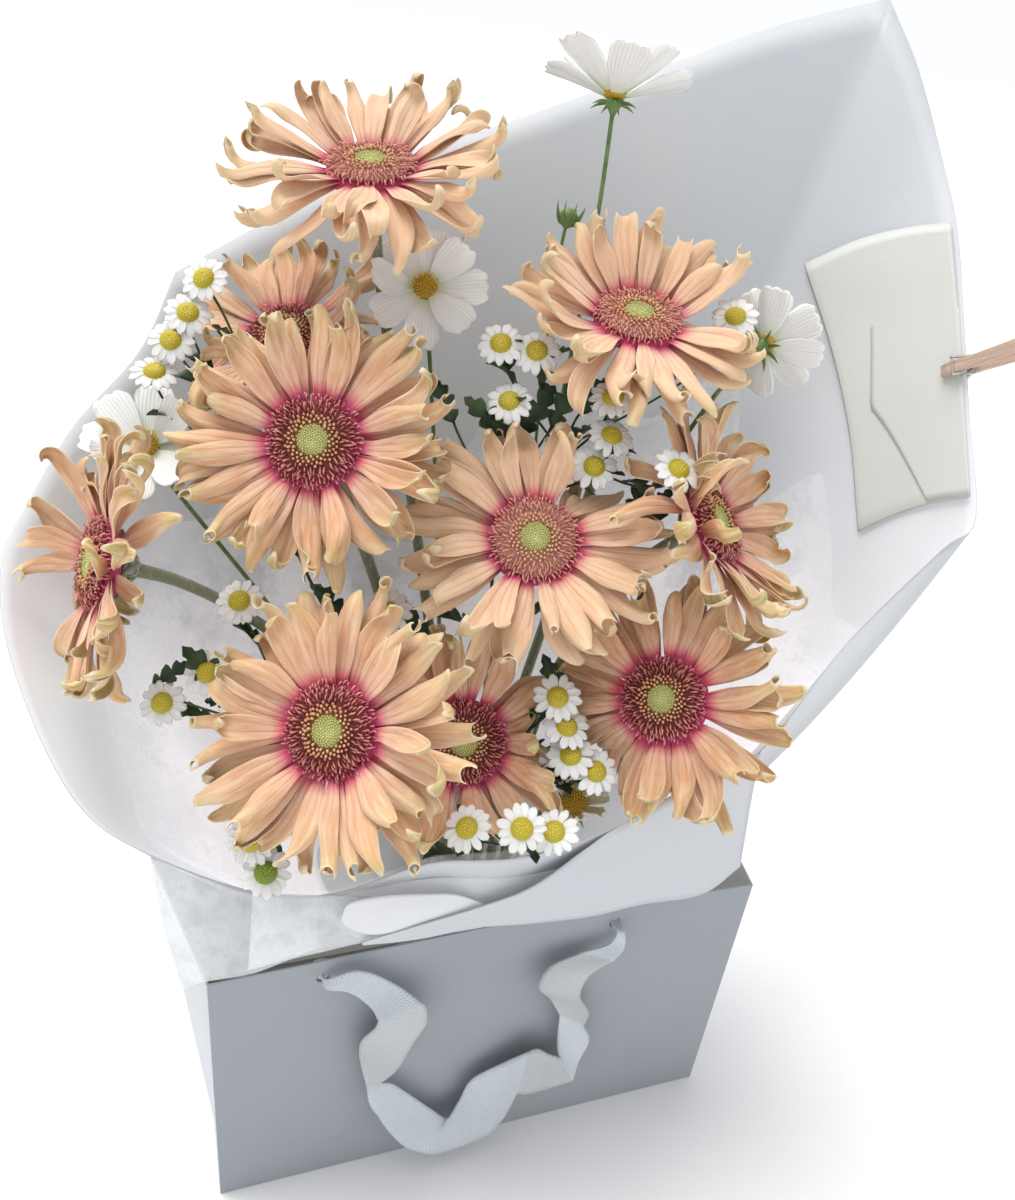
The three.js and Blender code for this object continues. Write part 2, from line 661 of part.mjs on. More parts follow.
// A daisy head: a dome with a ring of ligules, each with a blunt end, round a shallow cup.
function feverfewHead(at, seed, fork) {
  const d = (k) => draw(seed, 0, k) * 2 - 1;
  const face = vec(HEAD_FACE).add(V(0.25 * d(1), 0.25 * d(2), 0.2 * d(3)));
  const axes = axesOf(face.toArray());
  const points = 2 * FEVERFEW.petals;
  const reach = (i) => (i % 2 ? FEVERFEW.dome * 1.15 : FEVERFEW.reach - 0.8 * draw(seed, i, 7));
  const droop = (i) => (i % 2 ? -0.9 : -1.2 - 1.4 * draw(seed, i, 8));
  const body = loft([
    [at.clone().addScaledVector(axes.n, -3)],
    ringOn(axes, at, reach, droop, points),
    ringOn(axes, at, FEVERFEW.dome, 0.5, points),
    [at.clone().addScaledVector(axes.n, 3)],
  ]);
  const from = at.clone().addScaledVector(axes.n, -1.4).addScaledVector(axes.v, -2.2);
  const bow = from.clone().addScaledVector(axes.n, -0.4 * from.distanceTo(fork));
  const twig = new THREE.QuadraticBezierCurve3(from, bow, fork);
  return { body: body.add(tube(twig, FEVERFEW.twig, 3, 3)), twig };
}

// Where up and down a leaf its sections lie, and how wide it is there: it is cut into three lobes.
const LEAF_OUTLINE = [[0, 0.12], [0.3, 0.9], [0.48, 0.45], [0.68, 1], [0.84, 0.4]];

function leafCourse(base, way) {
  const side = way.clone().cross(V(0, 0, 1)).normalize();
  const lift = side.clone().cross(way).normalize();
  const at = (s) => base.clone().addScaledVector(way, FEVERFEW.leaf * s)
    .addScaledVector(lift, FEVERFEW.leaf * 0.5 * s * (0.7 - s));
  return { side, lift, at };
}

function leaf({ side, lift, at }) {
  const sections = LEAF_OUTLINE.map(([s, w]) => {
    const half = (w * FEVERFEW.leafWidth) / 2;
    return [
      at(s).addScaledVector(side, -half).addScaledVector(lift, 0.3),
      at(s).addScaledVector(lift, -0.7),
      at(s).addScaledVector(side, half).addScaledVector(lift, 0.3),
    ];
  });
  return blade(sections, at(1));
}

// A leaf on a spray's stem, turned the way that has the most room there.
function leafWithRoom(spray, base) {
  let best = null;
  let most = 1.2;
  for (let k = 0; k < 24; k += 1) {
    const turn = (k * FULL_TURN) / 12;
    const way = V(Math.cos(turn), Math.sin(turn), k < 12 ? 0.5 : 1.1).normalize();
    const course = leafCourse(base, way);
    let room = Infinity;
    [0.3, 0.5, 0.7, 0.85, 1].forEach((s) => {
      [-1, 0, 1].forEach((edge) => {
        const p = course.at(s).addScaledVector(course.side, s < 1 ? edge * 0.34 * FEVERFEW.leafWidth : 0);
        room = Math.min(room, roomAround(spray.owner, p, 9) - 2.6, wrapClearance(p) - 8);
      });
    });
    if (room > most) {
      most = room;
      best = course;
    }
  }
  return best;
}

const sprays = SPRAYS.map((spec, i) => {
  const fork = vec(spec.fork);
  const tie = tiePlace(TIE_RINGS.feverfew.radius, rad(TIE_RINGS.feverfew.turn * spec.slot + 15));
  const made = spec.heads.map((at, k) => feverfewHead(vec(at), 300 + 10 * i + k, fork));
  return { ...spec, owner: `feverfew_${i + 1}`, fork, tie, made };
});

function feverfewSpray(spray) {
  const parts = [tube(spray.path, FEVERFEW.stem, 4, SPRAY_STEPS)];
  spray.made.forEach(({ body }) => parts.push(body));
  [1, 2].forEach((step) => {
    const course = leafWithRoom(spray, spray.path.getPointAt(step / SPRAY_STEPS));
    if (!course) return;
    parts.push(leaf(course));
    [0.3, 0.6, 0.9].forEach((s) => take(spray.owner, course.at(s), FEVERFEW.leafWidth / 2));
  });
  return join(parts);
}

// ---- Paper and card -----------------------------------------------------------------------

// The bag's outline at a height: flat front and back, with the side folds pushed out by the bouquet.
function bagRing(z, inset) {
  const t = z / BAG.height;
  const [x, y] = [BAG.width / 2 - inset, BAG.depth / 2 - inset];
  const left = x + 22 * Math.sin(Math.min(1, t) * 1.5);
  const right = x + 9 * Math.sin(Math.min(1, t) * 1.5);
  return [
    V(-x, -y, z), V(0, -y + 4 * t, z), V(x, -y, z), V(right, -y * 0.1, z), V(x + 1, y, z),
    V(0, y + 3 * t, z), V(-x - 6 * t, y, z), V(-left, y * 0.2, z),
  ];
}

function bagBody() {
  const between = [60, 115];
  const outside = loft([0, ...between, BAG.height].map((z) => bagRing(z, 0)));
  const inside = loft([BAG.paper, ...between, BAG.height + 2].map((z) => bagRing(z, BAG.paper)));
  let body = outside.subtract(inside);
  HOLES.forEach(([x, y, z]) => {
    const bore = new THREE.LineCurve3(V(x, y - 8, z), V(x, y + 8, z));
    body = body.subtract(tube(bore, BAG.hole, 8, 1));
  });
  return body;
}

function baseCard() {
  const x = BAG.width / 2 - CARD.inset;
  const y = BAG.depth / 2 - CARD.inset;
  const corners = (z) => [V(-x, -y, z), V(x, -y, z), V(x, y, z), V(-x, y, z)];
  return loft([corners(CARD.low), corners(CARD.high)]);
}

// A flat tape through stations of centre, direction across, and width.
function tapeThrough(stations, thick) {
  const centres = stations.map(([x, y, z]) => V(x, y, z));
  return loft(stations.map((station, k) => {
    const ahead = centres[Math.min(k + 1, centres.length - 1)].clone().sub(centres[Math.max(k - 1, 0)]);
    const across = V(station[3], station[4], station[5]).normalize();
    const half = station[6] / 2;
    const through = ahead.clone().cross(across).normalize().multiplyScalar(thick / 2);
    const side = through.clone().cross(ahead).normalize().multiplyScalar(half);
    return [[-1, -1], [1, -1], [1, 1], [-1, 1]].map(([s, t]) => centres[k].clone()
      .addScaledVector(side, s).addScaledVector(through, t));
  }));
}

// An open sheet of paper: rows of points, given a thickness.
function openSheet(rows, thick) {
  const [height, width] = [rows.length, rows[0].length];
  const at = (k, i) => rows[Math.min(height - 1, Math.max(0, k))][Math.min(width - 1, Math.max(0, i))];
  const points = [];
  rows.forEach((row, k) => row.forEach((p, i) => {
    const across = at(k, i + 1).clone().sub(at(k, i - 1));
    const upward = at(k + 1, i).clone().sub(at(k - 1, i));
    const n = across.cross(upward).normalize();
    points.push(p.clone().addScaledVector(n, -thick / 2), p.clone().addScaledVector(n, thick / 2));
  }));
  const id = (k, i, face) => (k * width + i) * 2 + face;
  const triangles = [];
  const quad = (a, b, c, d) => triangles.push([a, b, c], [a, c, d]);
  for (let k = 0; k + 1 < height; k += 1) {
    for (let i = 0; i + 1 < width; i += 1) {
      quad(id(k, i, 1), id(k, i + 1, 1), id(k + 1, i + 1, 1), id(k + 1, i, 1));
      triangles.push([id(k, i, 0), id(k + 1, i + 1, 0), id(k, i + 1, 0)]);
      triangles.push([id(k, i, 0), id(k + 1, i, 0), id(k + 1, i + 1, 0)]);
    }
    quad(id(k, 0, 0), id(k, 0, 1), id(k + 1, 0, 1), id(k + 1, 0, 0));
    quad(id(k, width - 1, 1), id(k, width - 1, 0), id(k + 1, width - 1, 0), id(k + 1, width - 1, 1));
  }
  for (let i = 0; i + 1 < width; i += 1) {
    quad(id(0, i, 0), id(0, i + 1, 0), id(0, i + 1, 1), id(0, i, 1));
    quad(id(height - 1, i, 1), id(height - 1, i + 1, 1), id(height - 1, i + 1, 0), id(height - 1, i, 0));
  }
  const body = solid(points, triangles);
  return body.volume() < 0 ? solid(points, triangles.map(([a, b, c]) => [a, c, b])) : body;
}

const FLAP = [
  [[-49, -79, 193], [-49, -79, 191], [-48, -79, 189]],
  [[-21, -81, 200], [-20, -80, 192], [-19, -78, 183]],
  [[3, -83.5, 210], [6, -81, 195], [8, -78, 179]],
  [[25, -84.6, 229], [33, -84, 205], [41, -78, 176]],
  [[41, -83.6, 240], [54, -84, 208], [67, -78, 178]],
  [[74, -80.6, 255], [89, -81, 215], [103, -77, 176]],
  [[112, -77.4, 268], [118, -75, 230], [124, -74, 188]],
];
const TONGUE = [
  [[-84, -69.5, 207], [-84, -73, 203], [-83, -75, 198]],
  [[-76, -70, 213], [-78, -74, 201], [-75, -75.5, 188]],
  [[-60, -70, 213], [-60, -74, 200], [-58, -75.5, 182]],
  [[-35, -71.5, 213], [-35, -74, 198], [-35, -75.5, 180]],
  [[-5, -76.2, 212], [-5, -76.5, 198], [-5, -76, 180]],
];
const TAILS = [
  [[-161.5, -43.4, 225], [-161, -52.4, 201], [-158, -58.4, 181]],
  [[-140.6, -50.8, 216.5], [-142, -65.4, 197], [-140, -73.4, 173]],
  [[-119.8, -57.8, 208], [-121, -69.4, 194], [-121, -75.4, 176]],
  [[-103, -64.2, 210], [-103, -71.4, 197], [-104, -75.4, 180]],
  [[-92, -68.6, 211], [-92, -72.9, 199], [-92, -75.4, 185]],
];
const columnsToRows = (columns) => columns[0].map((unused, k) => columns.map((column) => vec(column[k])));

const HOLES = [
  [-88, -BAG.depth / 2, 155],
  [62, -BAG.depth / 2, 155],
  [-75, BAG.depth / 2, 155],
  [75, BAG.depth / 2, 155],
];

// Stations of the front handle: centre, direction across the tape, width there.
const FRONT_TAPE = [
  [-88, -60, 155, 0, 0, 1, 5], [-88, -69.5, 155, 0, 0, 1, 5], [-87, -74, 154, 0.3, 0, 1, 6],
  [-82, -76.5, 151, 0.6, -0.4, 0.8, 9], [-71, -78, 152, 0.77, -0.5, 0.63, 15],
  [-58, -80, 141, 0.8, 0.3, 0.55, 20], [-51, -81, 128, 0.98, 0.1, 0.15, 20],
  [-51, -82, 116, 0.95, 0.3, 0.1, 19], [-56, -82, 104, 0.85, -0.5, -0.25, 19],
  [-61, -81, 91, 0.8, -0.4, -0.4, 18], [-61, -80, 78, 0.8, 0.6, -0.1, 13],
  [-56, -80, 63, 0.7, 0.5, 0.4, 17], [-46, -81, 46, 0.75, 0.2, 0.65, 20],
  [-35, -82, 31, 0.45, 0, 0.85, 20], [-22, -83, 24, 0.1, 0.1, 1, 20], [-8, -82, 31, -0.5, 0, 0.86, 20],
  [5, -81, 45, -0.6, 0.2, 0.8, 20], [18, -80, 55, -0.4, 0.3, 0.9, 18], [31, -80, 57, 0, 0.4, 0.9, 15],
  [43, -80, 62, -0.6, 0.4, 0.7, 13], [47, -80, 76, -0.9, 0.4, 0.2, 15],
  [46, -79, 90, -0.8, -0.5, 0.1, 14], [39, -79, 105, -0.85, 0.4, -0.2, 17],
  [33, -79, 121, -1, 0.1, 0.1, 20], [38, -79, 135, -0.85, -0.3, 0.45, 17],
  [50, -78, 146, -0.5, -0.5, 0.7, 12], [60, -76.5, 153, -0.3, -0.3, 0.9, 7],
  [62, -73.5, 155, 0, 0, 1, 5], [62, -69, 155, 0, 0, 1, 5], [62, -60, 155, 0, 0, 1, 5],
];
const BACK_TAPE = [
  [75, 62, 155, 0, 0, 1, 5], [75, 73.5, 155, 0, 0, 1, 5], [74, 77, 153.5, 0.2, 0, 1, 7],
  [70, 78, 149, 0.8, 0.2, 0.6, 13], [66, 79, 130, 1, 0.2, 0.1, 19], [62, 80, 100, 1, -0.1, 0.1, 20],
  [52, 80, 72, 0.9, 0.2, 0.4, 20], [32, 81, 52, 0.6, 0.1, 0.8, 20], [0, 82, 44, 0, 0.1, 1, 20],
  [-32, 81, 52, -0.6, 0.1, 0.8, 20], [-52, 80, 72, -0.9, -0.1, 0.4, 20],
  [-62, 80, 100, -1, 0.1, 0.1, 20], [-66, 79, 130, -1, -0.2, 0.1, 19],
  [-70, 78, 149, -0.8, 0.2, 0.6, 13], [-74, 77, 153.5, -0.2, 0, 1, 7], [-75, 73.5, 155, 0, 0, 1, 5],
  [-75, 62, 155, 0, 0, 1, 5],
];

function knot(x, y, z) {
  const upright = axesOf([0, 1, 0.001]);
  const centre = V(x, y, z);
  return loft([
    [centre.clone().addScaledVector(upright.n, -4.4)],
    ringOn(upright, centre, 3.8, -2.6, 6), ringOn(upright, centre, 5.2, 0, 6),
    ringOn(upright, centre, 3.8, 2.6, 6), [centre.clone().addScaledVector(upright.n, 4.4)],
  ]);
}

function handle(stations, first, last) {
  return join([tapeThrough(stations, TAPE.thick), knot(...first), knot(...last)]);
}

// Rings of the tie: radius and height, outside and inside.
const TIE_OUTSIDE = [[32.4, 108], [31.2, 117]];
const TIE_INSIDE = [[30.9, 107], [29.3, 118]];
function tieBand() {
  const [outer, inner] = [TIE_OUTSIDE, TIE_INSIDE].map((rings) => loft(rings.map(([r, z]) => (
    ringProfile(0, 0, r, 24).map(({ x, y }) => V(x, y, z))
  ))));
  return outer.subtract(inner);
}

// A point of the wrap's facets between two columns, and the way the paper faces there, inwards.
function onWrap(i, level) {
  const column = Math.floor(i);
  return onColumn(column, level).lerp(onColumn(column + 1, level), i - column);
}
function insideOf(i, level) {
  const side = onWrap(i + 0.2, level).sub(onWrap(i - 0.2, level));
  const rise = onWrap(i, Math.min(1, level + 0.05)).sub(onWrap(i, level - 0.05));
  return rise.cross(side).normalize();
}

// The envelope lies against the inside of the wrap, its long edge flush with the wrap's edge.
function envelope() {
  const { topOuter, topInner, lowInner, lowOuter, thick, clear } = ENVELOPE;
  const rows = [0, 1 / 3, 2 / 3, 1].map((across) => [0, 1 / 3, 2 / 3, 1].map((down) => {
    const [i, level] = [0, 1].map((c) => mix(
      mix(topOuter[c], topInner[c], across), mix(lowOuter[c], lowInner[c], across), down,
    ));
    const lift = WRAP.paper / 2 + GAP + clear + thick / 2;
    return onWrap(i, level).addScaledVector(insideOf(i, level), lift);
  }));
  return openSheet(rows, thick);
}

// The clothespin's own frame: out past the paper's edge, through the paper, and along the edge.
function pinFrame() {
  const edge = onWrap(PIN.column, 1);
  const through = insideOf(PIN.column, 0.95);
  const rim = onWrap(PIN.column - 0.4, 1).sub(onWrap(PIN.column + 0.4, 1)).normalize();
  const along = rim.addScaledVector(through, -rim.dot(through)).normalize();
  const out = along.clone().cross(through);
  if (out.dot(onWrap(PIN.column, 1).sub(onWrap(PIN.column, 0.9))) < 0) out.negate();
  const pivot = edge.clone().addScaledVector(out, PIN.pastEdge).addScaledVector(through, PIN.middle);
  return { out, through, along: out.clone().cross(through), pivot };
}

// A flat profile in the pin's frame (out, through), made as wide as given along the edge.
function pinPiece(frame, profile, low, high) {
  const shape = new THREE.Shape(profile);
  const geometry = new THREE.ExtrudeGeometry(shape, { depth: high - low, bevelEnabled: false });
  geometry.translate(0, 0, low);
  const place = new THREE.Matrix4().makeBasis(frame.out, frame.through, frame.along);
  place.setPosition(frame.pivot);
  geometry.applyMatrix4(place);
  return weld(cornersOf(geometry));
}

// A profile's points, on the leg's own side of the pin.
const sided = (profile, side) => profile.map(([x, y]) => new THREE.Vector2(x, side * y));

function pinLeg(frame, side) {
  const { jaw, arm, gap, wood, splay } = PIN;
  const profile = [
    [-jaw, gap], [-2.6, gap], [-1.4, gap + 0.7], [1.4, gap + 0.7], [2.6, gap], [arm, gap + splay],
    [arm, gap + splay + 2.4], [3, gap + wood], [-jaw + 4, gap + wood], [-jaw, gap + 1.6],
  ];
  return pinPiece(frame, sided(profile, side), -PIN.width / 2, PIN.width / 2);
}

// The coil, and the wire that runs from its ends over one leg.
function pinCoil(frame) {
  return pinPiece(frame, ringProfile(0, 0, PIN.coil, 8), -PIN.width / 2 - 0.8, PIN.width / 2 + 0.8);
}
function pinBail(frame, side, start) {
  const reach = PIN.gap + PIN.wood + GAP + 0.5;
  const run = sided([[1.2, 0.9], [-1.2, 0.9], [-7.5, reach + 0.2], [-6.2, reach + 0.7]], side);
  const low = PIN.width / 2 + start;
  const spans = [[-low - PIN.wire, -low], [low, low + PIN.wire]];
  const arms = spans.map(([from, to]) => pinPiece(frame, run, from, to));
  const across = pinPiece(frame, ringProfile(-6.6, side * reach, 0.5, 4), -low - 0.5, low + 0.5);
  return join([across, ...arms]);
}

// ---- Putting it together ------------------------------------------------------------------

gerberas.forEach((flower) => {
  take(flower.owner, flower.centre.clone().addScaledVector(flower.axes.n, -2), 9);
  ringOn(flower.axes, flower.centre, 15, -3, 10).forEach((p) => take(flower.owner, p, 7));
});
cosmosFlowers.forEach((flower) => take(flower.owner, flower.centre, 7));
sprays.forEach((spray) => spray.made.forEach(({ twig }, k) => {
  take(spray.owner, vec(spray.heads[k]), 10.6);
  twig.getPoints(20).slice(1).forEach((p) => take(spray.owner, p, 1.6));
}));
function growStem(owner, head, face, tie, radius) {
  const course = steerStem(owner, head, face, tie, radius);
  course.points.forEach((p) => take(owner, p, radius + 0.4));
  return course;
}
gerberas.forEach((flower) => {
  const back = flower.centre.clone().addScaledVector(flower.axes.n, -STEM_BACK.gerbera);
  flower.stem = growStem(flower.owner, back, flower.face, flower.tie, GERBERA.stem);
  flower.path = stemPath(flower.stem);
});
cosmosFlowers.forEach((flower) => {
  const back = flower.centre.clone().addScaledVector(flower.axes.n, -STEM_BACK.cosmos);
  flower.stem = growStem(flower.owner, back, flower.face, flower.tie, COSMOS.stem);
  flower.path = stemPath(flower.stem);
});
sprays.forEach((spray) => {
  spray.stem = growStem(spray.owner, spray.fork, [0, -0.2, 1], spray.tie, FEVERFEW.stem);
  spray.path = stemPath(spray.stem);
});

const shapes = new Map();
const blooms = new Map();
[0, 1].forEach((i) => blooms.set(`cosmos_${i + 1}`, cosmosBloom(cosmosFlowers[i], 200 + i)));
FRONT_TO_BACK.forEach((i) => blooms.set(`gerbera_${i + 1}`, gerberaPetals(gerberas[i], 100 + i)));
[2, 3, 4].forEach((i) => blooms.set(`cosmos_${i + 1}`, cosmosBloom(cosmosFlowers[i], 200 + i)));

shapes.set('carrier_bag', [bagBody(), 'bag']);
shapes.set('base_card', [baseCard(), 'card']);
shapes.set('handle_front', [handle(FRONT_TAPE, [-88, -62.8, 155], [62, -62.1, 155]), 'tape']);
shapes.set('handle_back', [handle(BACK_TAPE, [75, 65.4, 155], [-75, 65.4, 155]), 'tape']);
const wrapCone = roundSheet(wrapGrid, () => -WRAP.paper / 2, () => WRAP.paper / 2);
shapes.set('wrap_paper', [wrapCone.add(openSheet(columnsToRows(TONGUE), 0.8)), 'wrap']);
shapes.set('wrap_flap', [openSheet(columnsToRows(FLAP), 0.8), 'wrap']);
const liner = (k) => -(WRAP.paper / 2 + GAP + [0.2, 1.5, 2.6, 3.4][k]);
shapes.set('tissue_liner', [roundSheet(tissueGrid, (k) => liner(k) - TISSUE.paper, liner), 'tissue']);
shapes.set('tissue_tails', [openSheet(columnsToRows(TAILS), 0.6), 'tissue']);
shapes.set('tie_band', [tieBand(), 'tape']);
shapes.set('envelope', [envelope(), 'envelope']);
const pin = pinFrame();
shapes.set('pin_leg_back', [pinLeg(pin, -1), 'wood']);
shapes.set('pin_leg_front', [pinLeg(pin, 1), 'wood']);
shapes.set('pin_spring', [pinCoil(pin).add(pinBail(pin, -1, 0.4)), 'steel']);
shapes.set('pin_spring_arm', [pinBail(pin, 1, 1.1), 'steel']);
gerberas.forEach((flower, i) => {
  shapes.set(`gerbera_${i + 1}_petals`, [blooms.get(flower.owner), 'peach']);
  shapes.set(`gerbera_${i + 1}_disc`, [gerberaDisc(flower, 400 + i), 'disc']);
  shapes.set(`gerbera_${i + 1}_stem`, [gerberaStem(flower), 'stem']);
});
cosmosFlowers.forEach((flower, i) => {
  shapes.set(`cosmos_${i + 1}_bloom`, [blooms.get(flower.owner), 'white']);
  shapes.set(`cosmos_${i + 1}_stem`, [cosmosStem(flower, i === 0), 'leaf']);
});
sprays.forEach((spray, i) => shapes.set(`feverfew_spray_${i + 1}`, [feverfewSpray(spray), 'leaf']));

const looks = {
  bag: { color: 0xb4bac0, roughness: 0.75 },
  card: { color: 0xc9cbc8, roughness: 0.9 },
  wrap: { color: 0xe4e6e9, roughness: 0.7 },
  tissue: { color: 0xf1f2f6, roughness: 0.85 },
  tape: { color: 0xdfe6ea, roughness: 0.9 },
  peach: { color: 0xe9b58c, roughness: 0.6 },
  disc: { color: 0x8c4a48, roughness: 0.85 },
  stem: { color: 0x8d9a80, roughness: 0.6 },
  leaf: { color: 0x4d6b3a, roughness: 0.65 },
  white: { color: 0xf4f5f3, roughness: 0.6 },
  envelope: { color: 0xe9e9e4, roughness: 0.6 },
  wood: { color: 0xc9b0a0, roughness: 0.7 },
  steel: { color: 0xb9bcc0, roughness: 0.35 },
};

const bouquet = new THREE.Group();
for (const [name, [body, look]] of shapes) {
  const { color, roughness } = looks[look];
  const metalness = look === 'steel' ? 1 : 0;
  const material = new THREE.MeshStandardMaterial({ color, roughness, metalness, side: THREE.DoubleSide });
  const mesh = new THREE.Mesh(geometryOf(body), material);
  mesh.name = name;
  bouquet.add(mesh);
}

export default bouquet;
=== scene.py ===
import math
import random

import bmesh
import bpy
import numpy as np
from mathutils import Matrix, Vector, noise


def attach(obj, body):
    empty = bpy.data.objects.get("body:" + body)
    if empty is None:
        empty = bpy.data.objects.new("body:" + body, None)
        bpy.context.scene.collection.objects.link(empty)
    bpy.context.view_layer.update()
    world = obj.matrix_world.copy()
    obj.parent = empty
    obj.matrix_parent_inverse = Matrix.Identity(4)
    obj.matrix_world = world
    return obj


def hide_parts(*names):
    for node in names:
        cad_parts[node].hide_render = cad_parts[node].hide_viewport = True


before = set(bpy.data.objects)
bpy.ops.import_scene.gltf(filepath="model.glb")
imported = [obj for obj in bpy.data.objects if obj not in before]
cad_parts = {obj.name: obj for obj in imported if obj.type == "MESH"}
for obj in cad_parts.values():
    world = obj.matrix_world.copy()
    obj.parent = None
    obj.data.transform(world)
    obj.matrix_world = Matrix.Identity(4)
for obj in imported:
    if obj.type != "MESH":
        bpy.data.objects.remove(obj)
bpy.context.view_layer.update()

mm = 0.001
fullTurn = 2 * math.pi

# the camera stands where the photograph was taken from
view = {
    "place": (-0.144, -0.378, 0.553), "azimuth": -21.8, "elevation": 30.5, "roll": 7.3,
    "focal": 1000, "imageHeight": 1200, "sensor": 36,
}
studio = {
    "aim": (0, 0, 0.3), "floorSize": 80.0, "floorColour": (0.90, 0.90, 0.91),
    "walls": (0.98, 0.99, 1.0), "ceiling": (0.70, 0.71, 0.72), "wallTop": (0.05, 0.35),
    "window": {"place": (-0.45, 0.60, 2.3), "softness": 42, "power": 2.9, "colour": (1.0, 0.985, 0.96)},
}


def makeCamera():
    azimuth, elevation, roll = (math.radians(view[k]) for k in ("azimuth", "elevation", "roll"))
    flat = math.cos(elevation)
    back = Vector((math.sin(azimuth) * flat, -math.cos(azimuth) * flat, math.sin(elevation)))
    level = Vector((0, 0, 1)).cross(back).normalized()
    upright = back.cross(level)
    right = level * math.cos(roll) + upright * math.sin(roll)
    up = upright * math.cos(roll) - level * math.sin(roll)
    data = bpy.data.cameras.new("camera")
    data.sensor_width = view["sensor"]
    data.lens = view["sensor"] * view["focal"] / view["imageHeight"]
    data.clip_start = 0.01
    camera = bpy.data.objects.new("camera", data)
    turned = Matrix((right, up, back)).transposed().to_4x4()
    camera.matrix_world = Matrix.Translation(view["place"]) @ turned
    bpy.context.scene.collection.objects.link(camera)
    bpy.context.scene.camera = camera


def makeLight(name, settings):
    data = bpy.data.lights.new(name, "SUN")
    data.angle = math.radians(settings["softness"])
    data.energy = settings["power"]
    data.color = settings["colour"]
    light = bpy.data.objects.new(name, data)
    light.location = settings["place"]
    aim = Vector(studio["aim"]) - Vector(settings["place"])
    light.rotation_euler = aim.to_track_quat("-Z", "Y").to_euler()
    bpy.context.scene.collection.objects.link(light)


# a node's output, which adds Math nodes when it is reckoned with
class Wire:
    def __init__(self, tree, socket):
        self.tree = tree
        self.socket = socket

    def maths(self, operation, *values):
        made = self.tree.nodes.new("ShaderNodeMath")
        made.operation = operation
        for socket, value in zip(made.inputs, values):
            plug(self.tree, socket, value)
        return Wire(self.tree, made.outputs[0])

    def __add__(self, other):
        return self.maths("ADD", self, other)

    def __sub__(self, other):
        return self.maths("SUBTRACT", self, other)

    def __rsub__(self, other):
        return self.maths("SUBTRACT", other, self)

    def __mul__(self, other):
        return self.maths("MULTIPLY", self, other)

    def __abs__(self):
        return self.maths("ABSOLUTE", self)

    __radd__ = __add__
    __rmul__ = __mul__

    def sine(self):
        return self.maths("SINE", self)


def plug(tree, socket, value):
    if isinstance(value, Wire):
        tree.links.new(value.socket, socket)
    elif isinstance(value, tuple) and len(socket.default_value) == 4:
        socket.default_value = (*value, 1.0)
    else:
        socket.default_value = value


class Paint:
    def __init__(self, name, **fixed):
        self.material = bpy.data.materials.new(name)
        self.material.use_nodes = True
        self.tree = self.material.node_tree
        self.shader = self.tree.nodes["Principled BSDF"]
        for socket, value in fixed.items():
            plug(self.tree, self.shader.inputs[socket.replace("_", " ")], value)

    # any node: its settings first, then what goes into its sockets
    def node(self, kind, settings=None, sockets=None, out=0):
        made = self.tree.nodes.new("ShaderNode" + kind)
        for key, value in (settings or {}).items():
            if key == "stops":
                ramp = made.color_ramp
                while len(ramp.elements) < len(value):
                    ramp.elements.new(1.0)
                for element, (place, colour) in zip(ramp.elements, value):
                    element.position = place
                    element.color = (*colour, 1.0)
            else:
                setattr(made, key, value)
        for key, value in (sockets or {}).items():
            plug(self.tree, made.inputs[key], value)
        return Wire(self.tree, made.outputs[out])

    def attribute(self, name):
        return self.node("Attribute", {"attribute_name": name}, out=2)

    def ramp(self, value, stops):
        return self.node("ValToRGB", {"stops": stops}, {0: value})

    def step(self, value, low, high):
        settings = {"interpolation_type": "SMOOTHSTEP"}
        return self.node("MapRange", settings, {0: value, 1: low, 2: high})

    def mix(self, factor, a, b, blend="MIX"):
        settings = {"data_type": "RGBA", "blend_type": blend}
        return self.node("Mix", settings, {0: factor, 6: a, 7: b}, out=2)

    def place(self):
        return self.node("TexCoord", out=3)

    def noise(self, scale, detail=3.0, place=None, rough=0.5, stretch=None):
        where = place or self.place()
        if stretch:
            where = self.node("VectorMath", {"operation": "MULTIPLY"}, {0: where, 1: stretch})
        sockets = {"Vector": where, "Scale": scale, "Detail": detail, "Roughness": rough}
        return self.node("TexNoise", None, sockets)

    def points(self, along, across, third=0.0):
        return self.node("CombineXYZ", None, {0: along, 1: across, 2: third})

    def to(self, socket, value):
        plug(self.tree, self.shader.inputs[socket], value)

    def bump(self, height, distance, strength=1.0):
        sockets = {"Height": height, "Distance": distance, "Strength": strength}
        self.to("Normal", self.node("Bump", None, sockets))


# the face ramp darkens to olive at the tip: partly the petal's own olive, partly painted shade inside the
# curled tips
petalFinish = {
    "face": [
        (0.0, (0.44, 0.03, 0.11)), (0.10, (0.60, 0.07, 0.17)), (0.16, (0.70, 0.24, 0.22)),
        (0.24, (0.72, 0.41, 0.29)), (0.50, (0.68, 0.385, 0.235)), (0.78, (0.67, 0.43, 0.24)),
        (0.92, (0.62, 0.47, 0.21)), (1.0, (0.48, 0.39, 0.14)),
    ],
    "back": [
        (0.0, (0.62, 0.34, 0.20)), (0.5, (0.70, 0.42, 0.22)), (0.74, (0.60, 0.44, 0.19)),
        (0.9, (0.46, 0.39, 0.14)), (1.0, (0.50, 0.43, 0.17)),
    ],
    "cream": (0.84, 0.69, 0.47), "blush": (0.80, 0.40, 0.30), "shade": (0.56, 0.26, 0.12),
    "deep": (0.58, 0.30, 0.13), "pale": (0.88, 0.62, 0.42),
}


